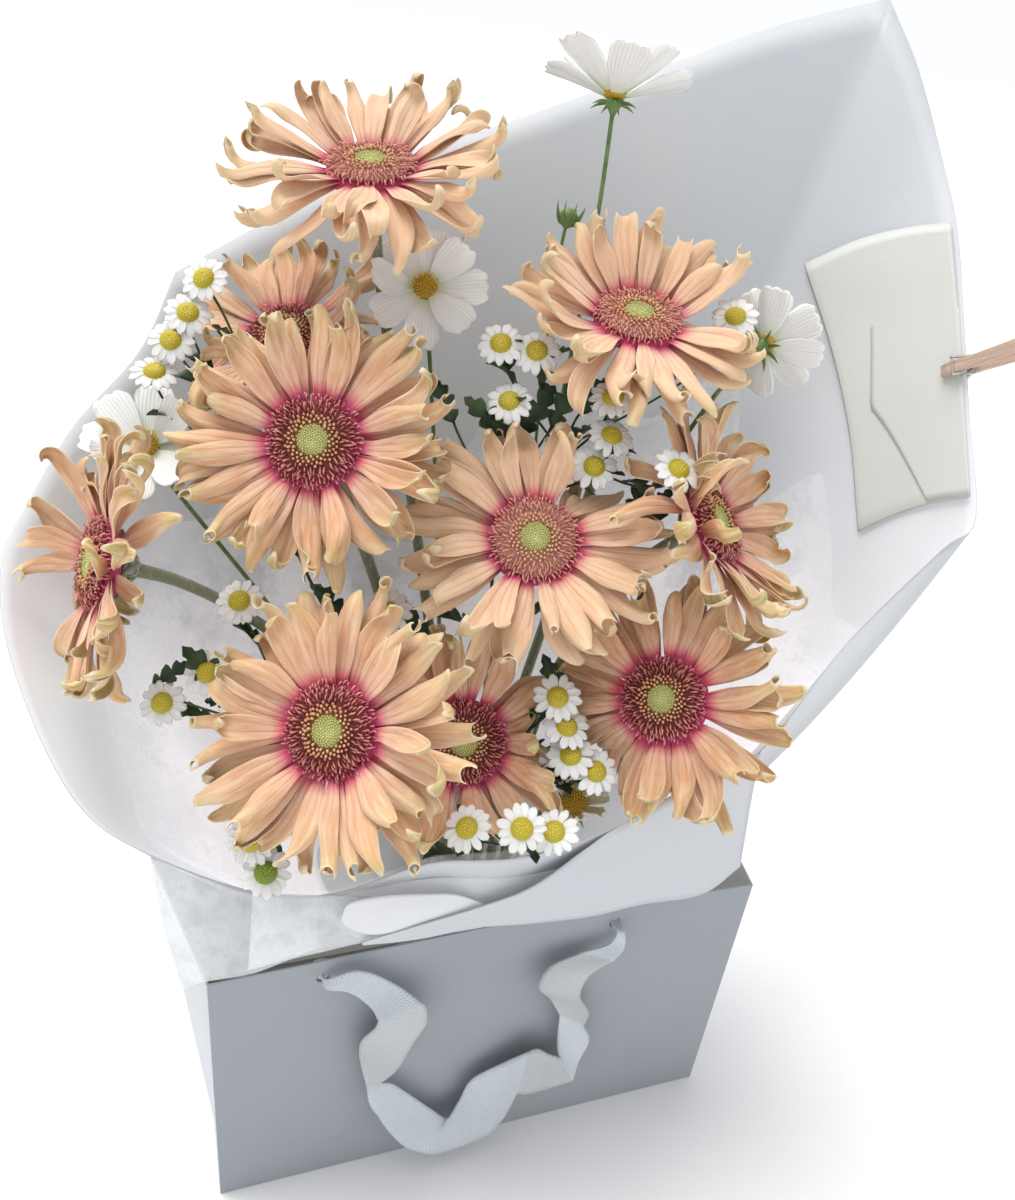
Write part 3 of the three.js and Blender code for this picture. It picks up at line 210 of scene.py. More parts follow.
def petalPaint(name, side):
    paint = Paint(name, Roughness=0.55, Sheen_Weight=0.2, Specular_IOR_Level=0.32)
    along, across, tone = (paint.attribute(k) for k in ("along", "across", "tone"))
    streaks = paint.noise(1.0, 4.0, paint.points(along * 3.0, across * 9.0, tone * 40.0))
    # where a point falls on the ramps; near the tip the face ramp gives partly painted shade
    rampAt = along + (streaks - 0.5) * 0.13 * (1.0 - along) - abs(across) * 0.03
    colour = paint.ramp(rampAt, petalFinish[side])
    warm = paint.step(tone, 0.2, 0.95) * 0.35
    colour = paint.mix(warm, colour, petalFinish["blush"], "SOFT_LIGHT")
    blotch = paint.noise(2.2, 3.0, paint.points(along * 1.5, across * 1.2, tone * 17.0))
    pale = paint.step(blotch, 0.42, 0.7) * 0.6 * (along * 0.6 + 0.4) * paint.step(along, 0.1, 0.3)
    colour = paint.mix(pale, colour, petalFinish["cream"])
    deep = (1.0 - paint.step(blotch, 0.3, 0.5)) * 0.55 * paint.step(along, 0.15, 0.4)
    colour = paint.mix(deep, colour, petalFinish["deep"])
    # painted light: the flowers that face up are painted paler by their pale value, for the light that falls
    # on them from above
    colour = paint.mix(paint.attribute("pale") * paint.step(along, 0.08, 0.3), colour, petalFinish["pale"])
    edge = paint.step(along, 0.3, 0.95)
    rim = paint.step(abs(across), 0.84, 0.99) * (edge * 0.55 + 0.25)
    colour = paint.mix(rim, colour, petalFinish["cream"])
    colour = paint.mix(paint.step(along, 0.945, 0.985) * 0.8, colour, petalFinish["cream"])
    # painted shade: the petal is darker along its two vein grooves, most near the root
    line = 1.0 - paint.step(abs(abs(across) - 0.333), 0.0, 0.10)
    dark = line * paint.step(along, 0.08, 0.2) * (1.0 - along)
    colour = paint.mix(dark * 0.3, colour, petalFinish["shade"])
    paint.to("Base Color", colour)
    fine = paint.noise(1.0, 2.0, paint.points(along * 10.0, across * 42.0, tone * 9.0))
    paint.bump(fine * 0.6 - dark * 1.4 + streaks * 0.8, 0.0004, 0.7)
    return paint.material


discFinish = {
    "foot": [
        (0.0, (0.36, 0.42, 0.14)), (0.33, (0.20, 0.19, 0.05)), (0.42, (0.17, 0.06, 0.03)),
        (0.62, (0.14, 0.030, 0.026)), (1.0, (0.26, 0.030, 0.060)),
    ],
    "tip": [
        (0.0, (0.68, 0.71, 0.36)), (0.32, (0.54, 0.54, 0.20)), (0.42, (0.64, 0.36, 0.18)),
        (0.58, (0.62, 0.29, 0.19)), (0.72, (0.62, 0.27, 0.22)), (1.0, (0.74, 0.38, 0.36)),
    ],
    "fresh": (0.84, 0.46, 0.34),
}


def discPaint(name, pale):
    paint = Paint(name, Roughness=0.6, Specular_IOR_Level=0.3)
    zone, lift, tone = (paint.attribute(k) for k in ("zone", "lift", "tone"))
    foot = paint.ramp(zone, discFinish["foot"])
    tip = paint.ramp(zone, discFinish["tip"])
    colour = paint.mix(paint.step(lift, 0.15, 0.95), foot, tip)
    colour = paint.mix(tone * 0.4, colour, (0.9, 0.6, 0.5), "SOFT_LIGHT")
    paint.to("Base Color", paint.mix(paint.step(zone, 0.2, 0.6) * pale, colour, discFinish["fresh"]))
    return paint.material


def downPaint():
    paint = Paint("downy_stem", Roughness=0.8, Sheen_Weight=0.5, Sheen_Roughness=0.5)
    coarse = paint.noise(60.0, 4.0, stretch=(1.0, 1.0, 0.25))
    fine = paint.noise(900.0, 3.0, stretch=(1.0, 1.0, 0.3))
    colour = paint.mix(coarse, (0.12, 0.145, 0.075), (0.25, 0.27, 0.17))
    paint.to("Base Color", paint.mix(paint.step(fine, 0.55, 0.8), colour, (0.46, 0.48, 0.38)))
    paint.bump(fine, 0.0003, 0.8)
    return paint.material


def leafPaint(name, dark, light, rough=0.5):
    paint = Paint(name, Roughness=rough, Specular_IOR_Level=0.4)
    spread = paint.noise(110.0, 4.0)
    fine = paint.noise(700.0, 2.0)
    paint.to("Base Color", paint.mix(paint.step(spread, 0.3, 0.75), dark, light))
    paint.bump(fine * 0.5 + spread, 0.0004, 0.6)
    return paint.material


# ligules: a tinted root, then a plain body with long ribs
def rayPaint(name, root, body, ribs):
    paint = Paint(name, Roughness=0.5, Sheen_Weight=0.15)
    along, across, tone = (paint.attribute(k) for k in ("along", "across", "tone"))
    streaks = paint.noise(1.0, 3.0, paint.points(along * 2.0, across * 7.0, tone * 30.0))
    colour = paint.mix(paint.step(along + (streaks - 0.5) * 0.2, 0.0, 0.34), root, body)
    # painted shade: the body turns grey along the grooves between its ribs
    cleft = paint.step(abs((across * ribs).sine()), 0.0, 0.5)
    colour = paint.mix((1.0 - cleft) * 0.16, colour, (0.55, 0.60, 0.58))
    paint.to("Base Color", paint.mix(tone * 0.10, colour, (0.80, 0.82, 0.76)))
    paint.bump(cleft + streaks * 0.4, 0.0003, 0.6)
    return paint.material


# the middle of a daisy: florets lighter at the top, some of them with the colour of their anthers
def eyePaint(name, low, high, dot):
    paint = Paint(name, Roughness=0.6)
    lift, tone = (paint.attribute(k) for k in ("lift", "tone"))
    colour = paint.mix(paint.step(lift, 0.0, 0.8), low, high)
    paint.to("Base Color", paint.mix(paint.step(tone, 0.7, 0.85) * 0.75, colour, dot))
    return paint.material


paperFinish = {
    "wrap": {"colour": (0.59, 0.605, 0.625), "rough": 0.5, "grain": 0.00004, "light": (1.0, 0.98, 0.99)},
    # the bag's grey is painted shade: its white paper is painted the grey of its shaded front
    "bag": {"colour": (0.350, 0.368, 0.395), "rough": 0.72, "grain": 0.00006, "light": (1.0, 0.95, 0.84)},
    "envelope": {"colour": (0.68, 0.68, 0.645), "rough": 0.7, "grain": 0.00006},
    "board": {"colour": (0.40, 0.40, 0.38), "rough": 0.85, "grain": 0.0002},
}


# paper with a painted glow: an emission, as strong as glow and on the wrap scaled by the lit value, stands
# in for light coming through the thin paper
def paperPaint(kind, glow=0.0):
    look = paperFinish[kind]
    name = f"painted_glow_{kind}_paper" if glow else f"{kind}_paper"
    paint = Paint(name, Roughness=look["rough"], Specular_IOR_Level=0.35, Emission_Strength=glow)
    if glow:
        lit = paint.attribute("lit") if kind == "wrap" else 1.0
        paint.to("Emission Color", paint.mix(lit, (0, 0, 0), look["light"]))
    fibres = paint.noise(420.0, 5.0, rough=0.6)
    clouds = paint.noise(9.0, 2.0)
    cool = tuple(c * k for c, k in zip(look["colour"], (0.95, 0.97, 1.0)))
    colour = paint.mix(paint.step(clouds, 0.3, 0.7), cool, look["colour"])
    darker = tuple(c * 0.93 for c in look["colour"])
    paint.to("Base Color", paint.mix(paint.step(fibres, 0.5, 0.75) * 0.5, colour, darker))
    paint.bump(fibres, look["grain"] * 4, 0.5)
    return paint.material


# thin white tissue with painted light: its creases are painted lighter, and where glow is given, an emission
# that is strongest in the creases and scaled by the lit value where one is named stands in for light coming
# through it
tissueFinish = {
    "fold": (0.97, 0.96, 0.98), "flat": (0.92, 0.91, 0.94), "glow": (1.0, 0.97, 0.99),
    "coolFold": (0.94, 0.97, 1.0), "coolFlat": (0.84, 0.88, 0.93),
}


def tissuePaint(name, cover, glow, lit=None, fade=None):
    paint = Paint(name, Roughness=0.7, Specular_IOR_Level=0.3, Emission_Strength=glow)
    wrinkles = paint.noise(26.0, 5.0, rough=0.62)
    fibres = paint.noise(600.0, 3.0)
    ridge = abs(wrinkles - 0.5)
    crease = paint.step(ridge, 0.0, 0.12)
    # painted highlight: the creases are painted lighter than the flat sheet
    tones = ("fold", "flat") if glow else ("coolFold", "coolFlat")
    paint.to("Base Color", paint.mix(crease, *(tissueFinish[k] for k in tones)))
    light = paint.mix(crease, tissueFinish["glow"], tissueFinish["flat"])
    if lit:
        light = paint.mix(paint.attribute(lit) * 0.7 + 0.3, (0, 0, 0), light)
    paint.to("Emission Color", light)
    solid = cover + paint.step(fibres, 0.3, 0.8) * 0.05 - crease * 0.06
    if fade:
        solid = solid - paint.step(paint.attribute(fade) + (wrinkles - 0.5) * 0.6, 0.35, 1.0) * 0.8
    paint.to("Alpha", solid)
    paint.bump(fibres * 0.06 - ridge, 0.004, 0.5)
    return paint.material


weave = {"rib": 0.0034, "threads": 8200.0, "reverseAndShade": (0.50, 0.525, 0.53)}


# herringbone: twill lines that change their direction from rib to rib
def tapePaint(name, colour):
    paint = Paint(name, Roughness=0.85, Sheen_Weight=0.3)
    along, across, side = (paint.attribute(k) for k in ("along", "across", "side"))
    zigzag = abs((across * (math.pi / weave["rib"])).sine()) * 3.0
    twill = (along * (weave["threads"] * 0.55) + zigzag).sine()
    yarn = (across * weave["threads"]).sine()
    soil = paint.noise(70.0, 3.0)
    dark = tuple(c * 0.82 for c in colour)
    base = paint.mix(paint.step(twill, -0.9, 0.5), dark, colour)
    # the sections that show side 0 are painted grey: partly the tape's reverse side, partly painted shade
    base = paint.mix((1.0 - side) * 0.85, base, weave["reverseAndShade"])
    paint.to("Base Color", paint.mix(soil * 0.18, base, tuple(c * 0.9 for c in colour)))
    paint.bump(twill * 0.6 + yarn * 0.25, 0.00022, 0.8)
    return paint.material


def woodPaint():
    paint = Paint("birch", Roughness=0.62, Specular_IOR_Level=0.35)
    along, across = paint.attribute("along"), paint.attribute("across")
    place = paint.points(along * 60.0, across * 900.0, 2.0)
    grain = paint.noise(1.0, 6.0, place, rough=0.65)
    colour = paint.mix(paint.step(grain, 0.35, 0.7), (0.46, 0.33, 0.25), (0.60, 0.47, 0.38))
    paint.to("Base Color", colour)
    paint.bump(grain, 0.0002, 0.6)
    return paint.material


def wirePaint():
    paint = Paint("spring_wire", Metallic=1.0)
    worn = paint.noise(300.0, 3.0)
    paint.to("Base Color", paint.mix(worn, (0.42, 0.41, 0.39), (0.62, 0.61, 0.59)))
    paint.to("Roughness", 0.28 + worn * 0.2)
    return paint.material


petalFace = petalPaint("petal_face", "face")
petalBack = petalPaint("petal_back", "back")
florets, freshFlorets = discPaint("gerbera_florets", 0.0), discPaint("fresh_florets", 0.42)
downyStem = downPaint()
cosmosPetal = rayPaint("cosmos_petal", (0.74, 0.82, 0.56), (0.93, 0.94, 0.93), 16.0)
wiltedPetal = rayPaint("wilted_petal", (0.50, 0.34, 0.10), (0.80, 0.72, 0.50), 12.0)
rayWhite = rayPaint("feverfew_ray", (0.82, 0.88, 0.66), (0.94, 0.94, 0.94), 7.0)
cosmosEye = eyePaint("cosmos_eye", (0.42, 0.24, 0.02), (0.84, 0.58, 0.06), (0.05, 0.03, 0.02))
domeYellow = eyePaint("feverfew_dome", (0.46, 0.37, 0.02), (0.80, 0.66, 0.09), (0.88, 0.80, 0.26))
domeGreen = eyePaint("feverfew_green_dome", (0.16, 0.24, 0.02), (0.38, 0.50, 0.06), (0.60, 0.62, 0.12))
cosmosGreen = leafPaint("cosmos_stem", (0.09, 0.16, 0.04), (0.20, 0.30, 0.10))
feverfewGreen = leafPaint("feverfew_stem", (0.035, 0.065, 0.025), (0.11, 0.17, 0.06), 0.6)
leafDark = leafPaint("feverfew_leaf", (0.016, 0.036, 0.015), (0.055, 0.095, 0.032), 0.5)
wrapPaper, bagPaper, envelopePaper, greyBoard = (
    paperPaint(k) for k in ("wrap", "bag", "envelope", "board")
)
# the wrap's and the bag's papers with a painted glow
paintedGlowWrap = paperPaint("wrap", 0.28)
paintedGlowBag = paperPaint("bag", 0.14)
tissuePaper = tissuePaint("tissue", 0.90, 0.30, "lit", "edge")
thinTissue = tissuePaint("thin_tissue", 0.40, 0.0)
tapeCotton = tapePaint("handle_tape", (0.66, 0.71, 0.77))
tieCotton = tapePaint("tie_ribbon", (0.80, 0.79, 0.75))
birch = woodPaint()
springWire = wirePaint()
print("finishes made")


# a piece from a bmesh in millimetres: it rides on a body and stands for the named nodes
def finishPiece(bm, name, materials, slot, nodes=(), body="root", thick=0.0, smooth=True):
    bmesh.ops.scale(bm, vec=(mm, mm, mm), verts=bm.verts)
    for face in bm.faces:
        face.smooth = smooth
    mesh = bpy.data.meshes.new(name)
    bm.to_mesh(mesh)
    bm.free()
    for material in materials:
        mesh.materials.append(material)
    piece = bpy.data.objects.new(name, mesh)
    bpy.context.scene.collection.objects.link(piece)
    if thick:
        solid = piece.modifiers.new("thickness", "SOLIDIFY")
        solid.thickness = thick * mm
        solid.offset = 0
        solid.material_offset = len(materials) - 1
    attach(piece, body)
    if nodes:
        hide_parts(*nodes)
    return piece


# an empty bmesh whose vertices carry the named values for the finish
def startPiece(*names):
    bm = bmesh.new()
    for name in names:
        bm.verts.layers.float.new(name)
    return bm


# a grid of faces: its vertices, and how far each is along (0 to 1) and across (-1 to 1)
def gridOf(bm, alongSteps, acrossSteps):
    made = bmesh.ops.create_grid(bm, x_segments=alongSteps, y_segments=acrossSteps, size=1)["verts"]
    s = np.array([(v.co.x + 1) / 2 for v in made])
    t = np.array([v.co.y for v in made])
    return made, s, t


# moves vertices to their places, with values for the finish
def settle(bm, verts, places, **values):
    layers = [bm.verts.layers.float[name] for name in values]
    spread = [np.broadcast_to(value, len(verts)) for value in values.values()]
    for row, (vert, place) in enumerate(zip(verts, places)):
        vert.co = place
        for layer, value in zip(layers, spread):
            vert[layer] = value[row]


def unit(v):
    v = np.asarray(v, float)
    return v / np.linalg.norm(v, axis=-1, keepdims=True)


# a draw of either sign, as far from nought as half the size
def evenly(draws, size):
    return size * (draws.random() - .5)


def outlineAt(outline, s):
    return np.interp(s, *zip(*outline))


# how far each point of a line is from its first
def farAlong(line):
    return np.concatenate([[0], np.linalg.norm(np.diff(line, axis=0), axis=1).cumsum()])


# an easy curve from start to end, pulled towards the bow
def arcOf(start, bow, end, steps):
    t = np.linspace(0, 1, steps)[:, None]
    return start * (1 - t) ** 2 + bow * 2 * t * (1 - t) + end * t * t


# a flower's axes: sideways, upwards and the way that it faces
def axesOf(face):
    n = unit(face)
    v = unit(np.array((0, 0, 1.0)) - n * n[2])
    return np.cross(v, n), v, n


# outwards and across at a turn, or at many, about a flower's axis
def spokeAt(flower, turn):
    u, v, _ = flower["axes"]
    cosine, sine = (np.asarray(part(turn))[..., None] for part in (np.cos, np.sin))
    return u * cosine + v * sine, v * cosine - u * sine


# a smooth line through rows of values that stand at knots; corners keep their angle
def through(knots, rows, s, corners=()):
    knots, rows, s = np.asarray(knots, float), np.asarray(rows, float), np.asarray(s, float)
    rows = rows.reshape(len(knots), -1)
    chord = np.diff(rows, axis=0) / np.diff(knots)[:, None]
    tangent = np.vstack([chord[:1], (chord[1:] + chord[:-1]) / 2, chord[-1:]])
    k = np.clip(np.searchsorted(knots, s, side="right") - 1, 0, len(knots) - 2)
    span = (knots[k + 1] - knots[k])[:, None]
    t = ((s - knots[k])[:, None] / span).clip(0, 1)
    start, end = tangent[k].copy(), tangent[k + 1].copy()
    for corner in corners:
        start[k == corner] = chord[k[k == corner]]
        end[k + 1 == corner] = chord[k[k + 1 == corner]]
    stay, gone = (1 + 2 * t) * (1 - t) ** 2, t * t * (3 - 2 * t)
    return (rows[k] * stay + rows[k + 1] * gone
            + span * (start * t * (1 - t) ** 2 - end * t * t * (1 - t)))


# places at (s, t) on a smooth surface through a grid of points
def surfaceThrough(grid, s, t):
    grid = np.array(grid, float)
    wide, deep = (np.linspace(0, 1, size) for size in grid.shape[:2])
    rows = [through(wide, grid[:, k], s) for k in range(len(deep))]
    return np.array([through(deep, [row[j] for row in rows], t[j:j + 1])[0] for j in range(len(s))])


# a round body along a line, with its radius at each point; both ends are closed
def tubeOf(bm, line, radius, sides, **values):
    line = np.asarray(line, float)
    count = len(line)
    ahead = unit(np.gradient(line, axis=0))
    side = np.zeros_like(line)
    side[0] = unit(np.cross(ahead[0], (0.3, 0.9, 0.2)))
    for k in range(1, count):
        side[k] = unit(side[k - 1] - ahead[k] * (side[k - 1] @ ahead[k]))
    over = np.cross(ahead, side)
    radius = np.broadcast_to(radius, count).astype(float).copy()
    verts, s, t = gridOf(bm, count + 1, sides)
    row = np.clip(np.rint(s * (count + 1)).astype(int) - 1, 0, count - 1)
    closed = np.where((s < 1e-6) | (s > 1 - 1e-6), 0.0, 1.0)
    turn = math.pi * t
    reach = (radius[row] * closed)[:, None]
    places = line[row] + reach * (side[row] * np.cos(turn)[:, None] + over[row] * np.sin(turn)[:, None])
    settle(bm, verts, places, **{k: (v[row] if np.ndim(v) else v) for k, v in values.items()})
    closeUp(bm, verts)


# joins a grid's seam and poles and turns its faces outwards
def closeUp(bm, verts):
    faces = list({face for vert in verts for face in vert.link_faces})
    bmesh.ops.reverse_faces(bm, faces=faces)
    bmesh.ops.remove_doubles(bm, verts=verts, dist=1e-4)


# the rule that places every stem, petal and leaf, in the order of the solids
gerberaSize = {
    "root": 17, "length": 46, "width": 11.2, "stem": 2.7, "steps": 14, "least": 1.6, "ring": 15,
    "outline": ((0, .3), (.3, .8), (.6, 1), (.84, .78), (1, .3)),
    "layers": (
        {"row": "outer", "low": -3.2, "rise": 6, "bend": -16, "long": 1, "wide": 1},
        {"row": "inner", "low": -1.6, "rise": 24, "bend": -22, "long": .82, "wide": .88},
    ),
    "vary": {"turn": .2, "rise": 6, "bend": 14, "sway": 20, "twist": 26, "length": 5, "width": 1.4},
}
feverfewSize = {"head": 10.6, "stem": 1.1, "leaf": 36, "leafWidth": 15, "leafArch": 18, "leafTurn": .7}
cosmosSize = {"reach": 29, "width": 17, "petals": 8, "dome": 5.2, "stem": 1.1}
tieSize = {"height": 118, "radius": 28.4, "foot": 3.2}
# pale: how much paler a flower is painted, as painted light on the flowers that face up
gerberas = [
    {"at": (-47, 91, 487), "face": (-.14, -.24, .96), "outer": 12, "inner": 7, "size": 1.05,
     "lean": 8, "tilt": 16, "slot": 3, "pale": .5},
    {"at": (-84, 92, 410), "face": (-.33, -.40, .86), "outer": 10, "inner": 6, "size": 1.0,
     "lean": 4, "slot": 4},
    {"at": (-82, 17, 388), "face": (-.31, -.76, .57), "outer": 13, "inner": 8, "size": 1.0,
     "lean": 2, "slot": 5},
    {"at": (67, 34, 439), "face": (-.10, -.30, .95), "outer": 12, "inner": 7, "size": 1.03,
     "lean": 10, "tilt": 22, "slot": 1, "pale": .45},
    {"at": (10, -16, 354), "face": (-.24, -.62, .75), "outer": 12, "inner": 8, "size": 1.0,
     "lean": 4, "slot": 0, "pale": .5},
    {"at": (92, -27, 364), "face": (.57, -.53, .63), "outer": 12, "inner": 7, "size": 1.0,
     "lean": 14, "slot": 9},
    {"at": (-173, 29, 329), "face": (-.93, -.19, .31), "outer": 12, "inner": 7, "size": 1.0,
     "lean": 4, "slot": 6},
    {"at": (-86, -59, 294), "face": (-.54, -.63, .56), "outer": 13, "inner": 8, "size": 1.0,
     "lean": 4, "slot": 7, "pale": .15},
    {"at": (-22, -42, 265), "face": (-.21, -.74, .64), "outer": 11, "inner": 6, "size": 0.9,
     "lean": 6, "slot": 2},
    {"at": (62, -64, 295), "face": (-.61, -.52, .60), "outer": 12, "inner": 8, "size": 0.92,
     "lean": -4, "slot": 8},
]
frontToBack = (2, 7, 4, 9, 6, 5, 3, 0, 8, 1)
cosmoses = [
    {"at": (75, 115, 523), "face": (.10, .31, .95), "lean": 26, "size": 1.33, "slot": 1},
    {"at": (-20, 86, 436), "face": (-.26, -.73, .64), "lean": 6, "size": 1.05, "slot": 2},
    {"at": (-149, 78, 362), "face": (-.18, -.63, .76), "lean": 12, "size": 1.05, "slot": 3},
    {"at": (135, 31, 428), "face": (.81, .56, .19), "lean": 14, "size": 1, "slot": 0},
    {"at": (28, -63, 239), "face": (-.03, -.46, .89), "lean": 24, "size": 0.62, "slot": 5},
]
sprays = [
    {"fork": (10, 34, 352), "slot": 1, "heads": ((51, 14, 408), (49, 5, 393), (41, 1, 380), (7, 28, 401))},
    {"fork": (40, 40, 372), "slot": 0,
     "heads": ((5, 42, 423), (20, 35, 422), (68, -26, 390), (112, 26, 442))},
    {"fork": (-90, 60, 350), "slot": 2,
     "heads": ((-119, 100, 433), (-127, 94, 419), (-135, 89, 408), (-143, 84, 395))},
    {"fork": (-90, 10, 240), "slot": 3,
     "heads": ((-114, 19, 311), (-51, -4, 314), (-150, 6, 268), (-130, 7, 282), (-118, -57, 238),
               (-113, -66, 227))},
    {"fork": (-6, -24, 232), "slot": 6,
     "heads": ((18, -48, 290), (21, -56, 279), (22, -63, 268), (32, -70, 263))},
    {"fork": (-14, -38, 200), "slot": 5, "heads": ((-30, -80, 250), (-9, -90, 255), (8, -87, 247))},
]
# the wrap's upper edge, from the middle of the front anticlockwise, and how fast each column spreads
rim = np.array((
    (-43, -74, 226), (-5, -81, 228), (38, -82, 237), (76, -79, 254), (113, -76, 267), (160, -58, 313),
    (208, -46, 353), (225, -43, 367), (233, -10, 405), (241, 24, 445), (248, 56, 482), (251, 89, 514),
    (250, 122, 548), (246, 157, 579), (190, 172, 560), (120, 182, 530), (45, 186, 499), (-15, 188, 478),
    (-75, 186, 446), (-129, 179, 416), (-149, 143, 386), (-181, 113, 359), (-204, 80, 331),
    (-214, 62, 315), (-213, 33, 291), (-200, -3, 260), (-184, -25, 236), (-160, -43, 225),
    (-119, -57, 208), (-85, -70, 212),
), float)
spreads = np.array((
    .62, .62, .62, .6, .56, .52, .47, .44, .44, .47, .51, .56, .64, .72, .78, .82,
    .85, .85, .8, .75, .68, .64, .62, .62, .62, .62, .62, .62, .62, .62,
))
wrapLevels = np.array((-1, 0, .1, .25, .5, .75, 1))
wrapCorners = (13, 19)
bearings = np.arctan2(rim[:, 1], rim[:, 0])
even = math.radians(240) + np.arange(len(rim)) * fullTurn / len(rim)
bearings += fullTurn * np.ceil((even - math.pi - bearings) / fullTurn)
waistTurns = (bearings + even) / 2


# the solids' own even spread of values from 0 to 1
def draw(seed, i, k):
    value = math.sin(seed * 127.1 + i * 311.7 + k * 74.7) * 43758.5453
    return value - math.floor(value)


# points of the wrap from the place of their columns (spread, turn, rim) and their levels
def wrapPoints(spread, turn, top, level):
    level = np.asarray(level, float)
    waist = tieSize["radius"] * np.stack([np.cos(turn), np.sin(turn)], -1)
    out = np.maximum(level, 0) ** spread
    flare = np.where(level < 0, 1 + 0.55 * level * level, 1)
    flat = waist * flare[..., None] * (1 - out)[..., None] + top[..., :2] * out[..., None]
    low = tieSize["height"] + (tieSize["height"] - tieSize["foot"]) * level
    high = tieSize["height"] + (top[..., 2] - tieSize["height"]) * level
    return np.concatenate([flat, np.where(level < 0, low, high)[..., None]], -1)


count = len(rim)
wrapGrid = wrapPoints(spreads[:, None], waistTurns[:, None], rim[:, None, :], wrapLevels[None, :])
wrapSide = np.roll(wrapGrid, -1, 0) - np.roll(wrapGrid, 1, 0)
wrapRise = np.stack([wrapGrid[:, min(k + 1, 6)] - wrapGrid[:, k - 1] for k in range(2, 7)], 1)
nodePlace = wrapGrid[:, 2:].reshape(-1, 3)
nodeNormal = unit(np.cross(wrapSide[:, 2:], wrapRise)).reshape(-1, 3)
nodeRise = unit(wrapRise).reshape(-1, 3)
nodeEdge = np.tile(np.arange(5) == 4, count)


# how far points keep inside the wrap
def wrapClearance(places):
    gaps = np.linalg.norm(places[:, None] - nodePlace[None], axis=2)
    best = gaps.argmin(1)
    away = places - nodePlace[best]
    above = nodeEdge[best] & ((away * nodeRise[best]).sum(1) > 2)
    return np.where(above, gaps.min(1), -(away * nodeNormal[best]).sum(1))


# a point of the wrap's facets between its columns, and the way the paper faces there, inwards
def onColumn(i, level):
    k = max(0, int(np.argmax(wrapLevels >= level)) - 1)
    t = (level - wrapLevels[k]) / (wrapLevels[k + 1] - wrapLevels[k])
    column = wrapGrid[i % count]
    return column[k] * (1 - t) + column[k + 1] * t


def onWrap(i, level):
    column = math.floor(i)
    t = i - column
    return onColumn(column, level) * (1 - t) + onColumn(column + 1, level) * t


def insideOf(i, level):
    side = onWrap(i + 0.2, level) - onWrap(i - 0.2, level)
    rise = onWrap(i, min(1, level + 0.05)) - onWrap(i, level - 0.05)
    return unit(np.cross(rise, side))


# what is in place already, as balls, so that later petals and stems bend clear
taken = {"owner": [], "place": [], "radius": []}


def take(owner, places, radii):
    for place, radius in zip(np.atleast_2d(places), np.broadcast_to(radii, len(np.atleast_2d(places)))):
        taken["owner"].append(owner)
        taken["place"].append(place)
        taken["radius"].append(float(radius))


def roomAt(owner, places, own=0.0):
    place, radius = np.array(taken["place"]), np.array(taken["radius"])
    others = np.array([o != owner for o in taken["owner"]])
    if own:
        others |= radius > own
    return (np.linalg.norm(places[:, None] - place[None, others], axis=2) - radius[others]).min(1)


def courseOf(flower, petal, steps=gerberaSize["steps"], lag=0.0, hook=0.0):
    n = flower["axes"][2]
    s = np.arange(steps + 1) / steps
    at = np.maximum(0, s - lag)
    turn = petal["turn"] + petal["sway"] * at
    slope = petal["rise"] + petal["bend"] * at + petal["curl"] * np.maximum(0, (at - .66) / .34) ** 2
    slope = (slope + hook * np.maximum(0, (s - .74) / .26) ** 1.2)[:, None]
    flat, across = spokeAt(flower, turn)
    ahead = flat * np.cos(slope) + n * np.sin(slope)
    up = np.cross(ahead, across)
    roll = (petal["twist"] * s)[:, None]
    side, lift = across * np.cos(roll) + up * np.sin(roll), up * np.cos(roll) - across * np.sin(roll)
    start = flower["centre"] + petal["root"] * flat[0] + petal["low"] * n
    strides = np.vstack([np.zeros((1, 3)), ahead[:-1]]) * (petal["length"] / steps)
    return start + strides.cumsum(0), side, lift


def stationsAt(course, s):
    steps = len(course[0]) - 1
    where = np.asarray(s, float) * steps
    k = np.minimum(steps - 1, where.astype(int))
    t = (where - k)[:, None]
    return [a[k] * (1 - t) + a[k + 1] * t for a in course]


bendTries = np.radians((0, -12, 12, -24, 24, -38, 38, -55, 55, -75))
clearAt = np.array((.3, .42, .54, .65, .75, .84, .92, 1))


# the petal with the smallest bend that clears what is in place
def bendClear(flower, petal, half):
    best, most = petal, -math.inf
    girth = np.maximum(gerberaSize["least"], half * outlineAt(gerberaSize["outline"], clearAt))
    for scale in (1, .85, .7, .55):
        for extra in bendTries:
            bent = dict(petal, rise=petal["rise"] + .2 * extra, bend=petal["bend"] + .9 * extra,
                        length=petal["length"] * scale)
            places = stationsAt(courseOf(flower, bent), clearAt)[0]
            room = min((roomAt(flower["owner"], places) - girth).min(),
                       (wrapClearance(places) - 5 - girth).min())
            if room > 1:
                return bent
            if room > most:
                best, most = bent, room
    return best


def tiePlace(radius, turn):
    return np.array((radius * math.cos(turn), radius * math.sin(turn), tieSize["height"]))


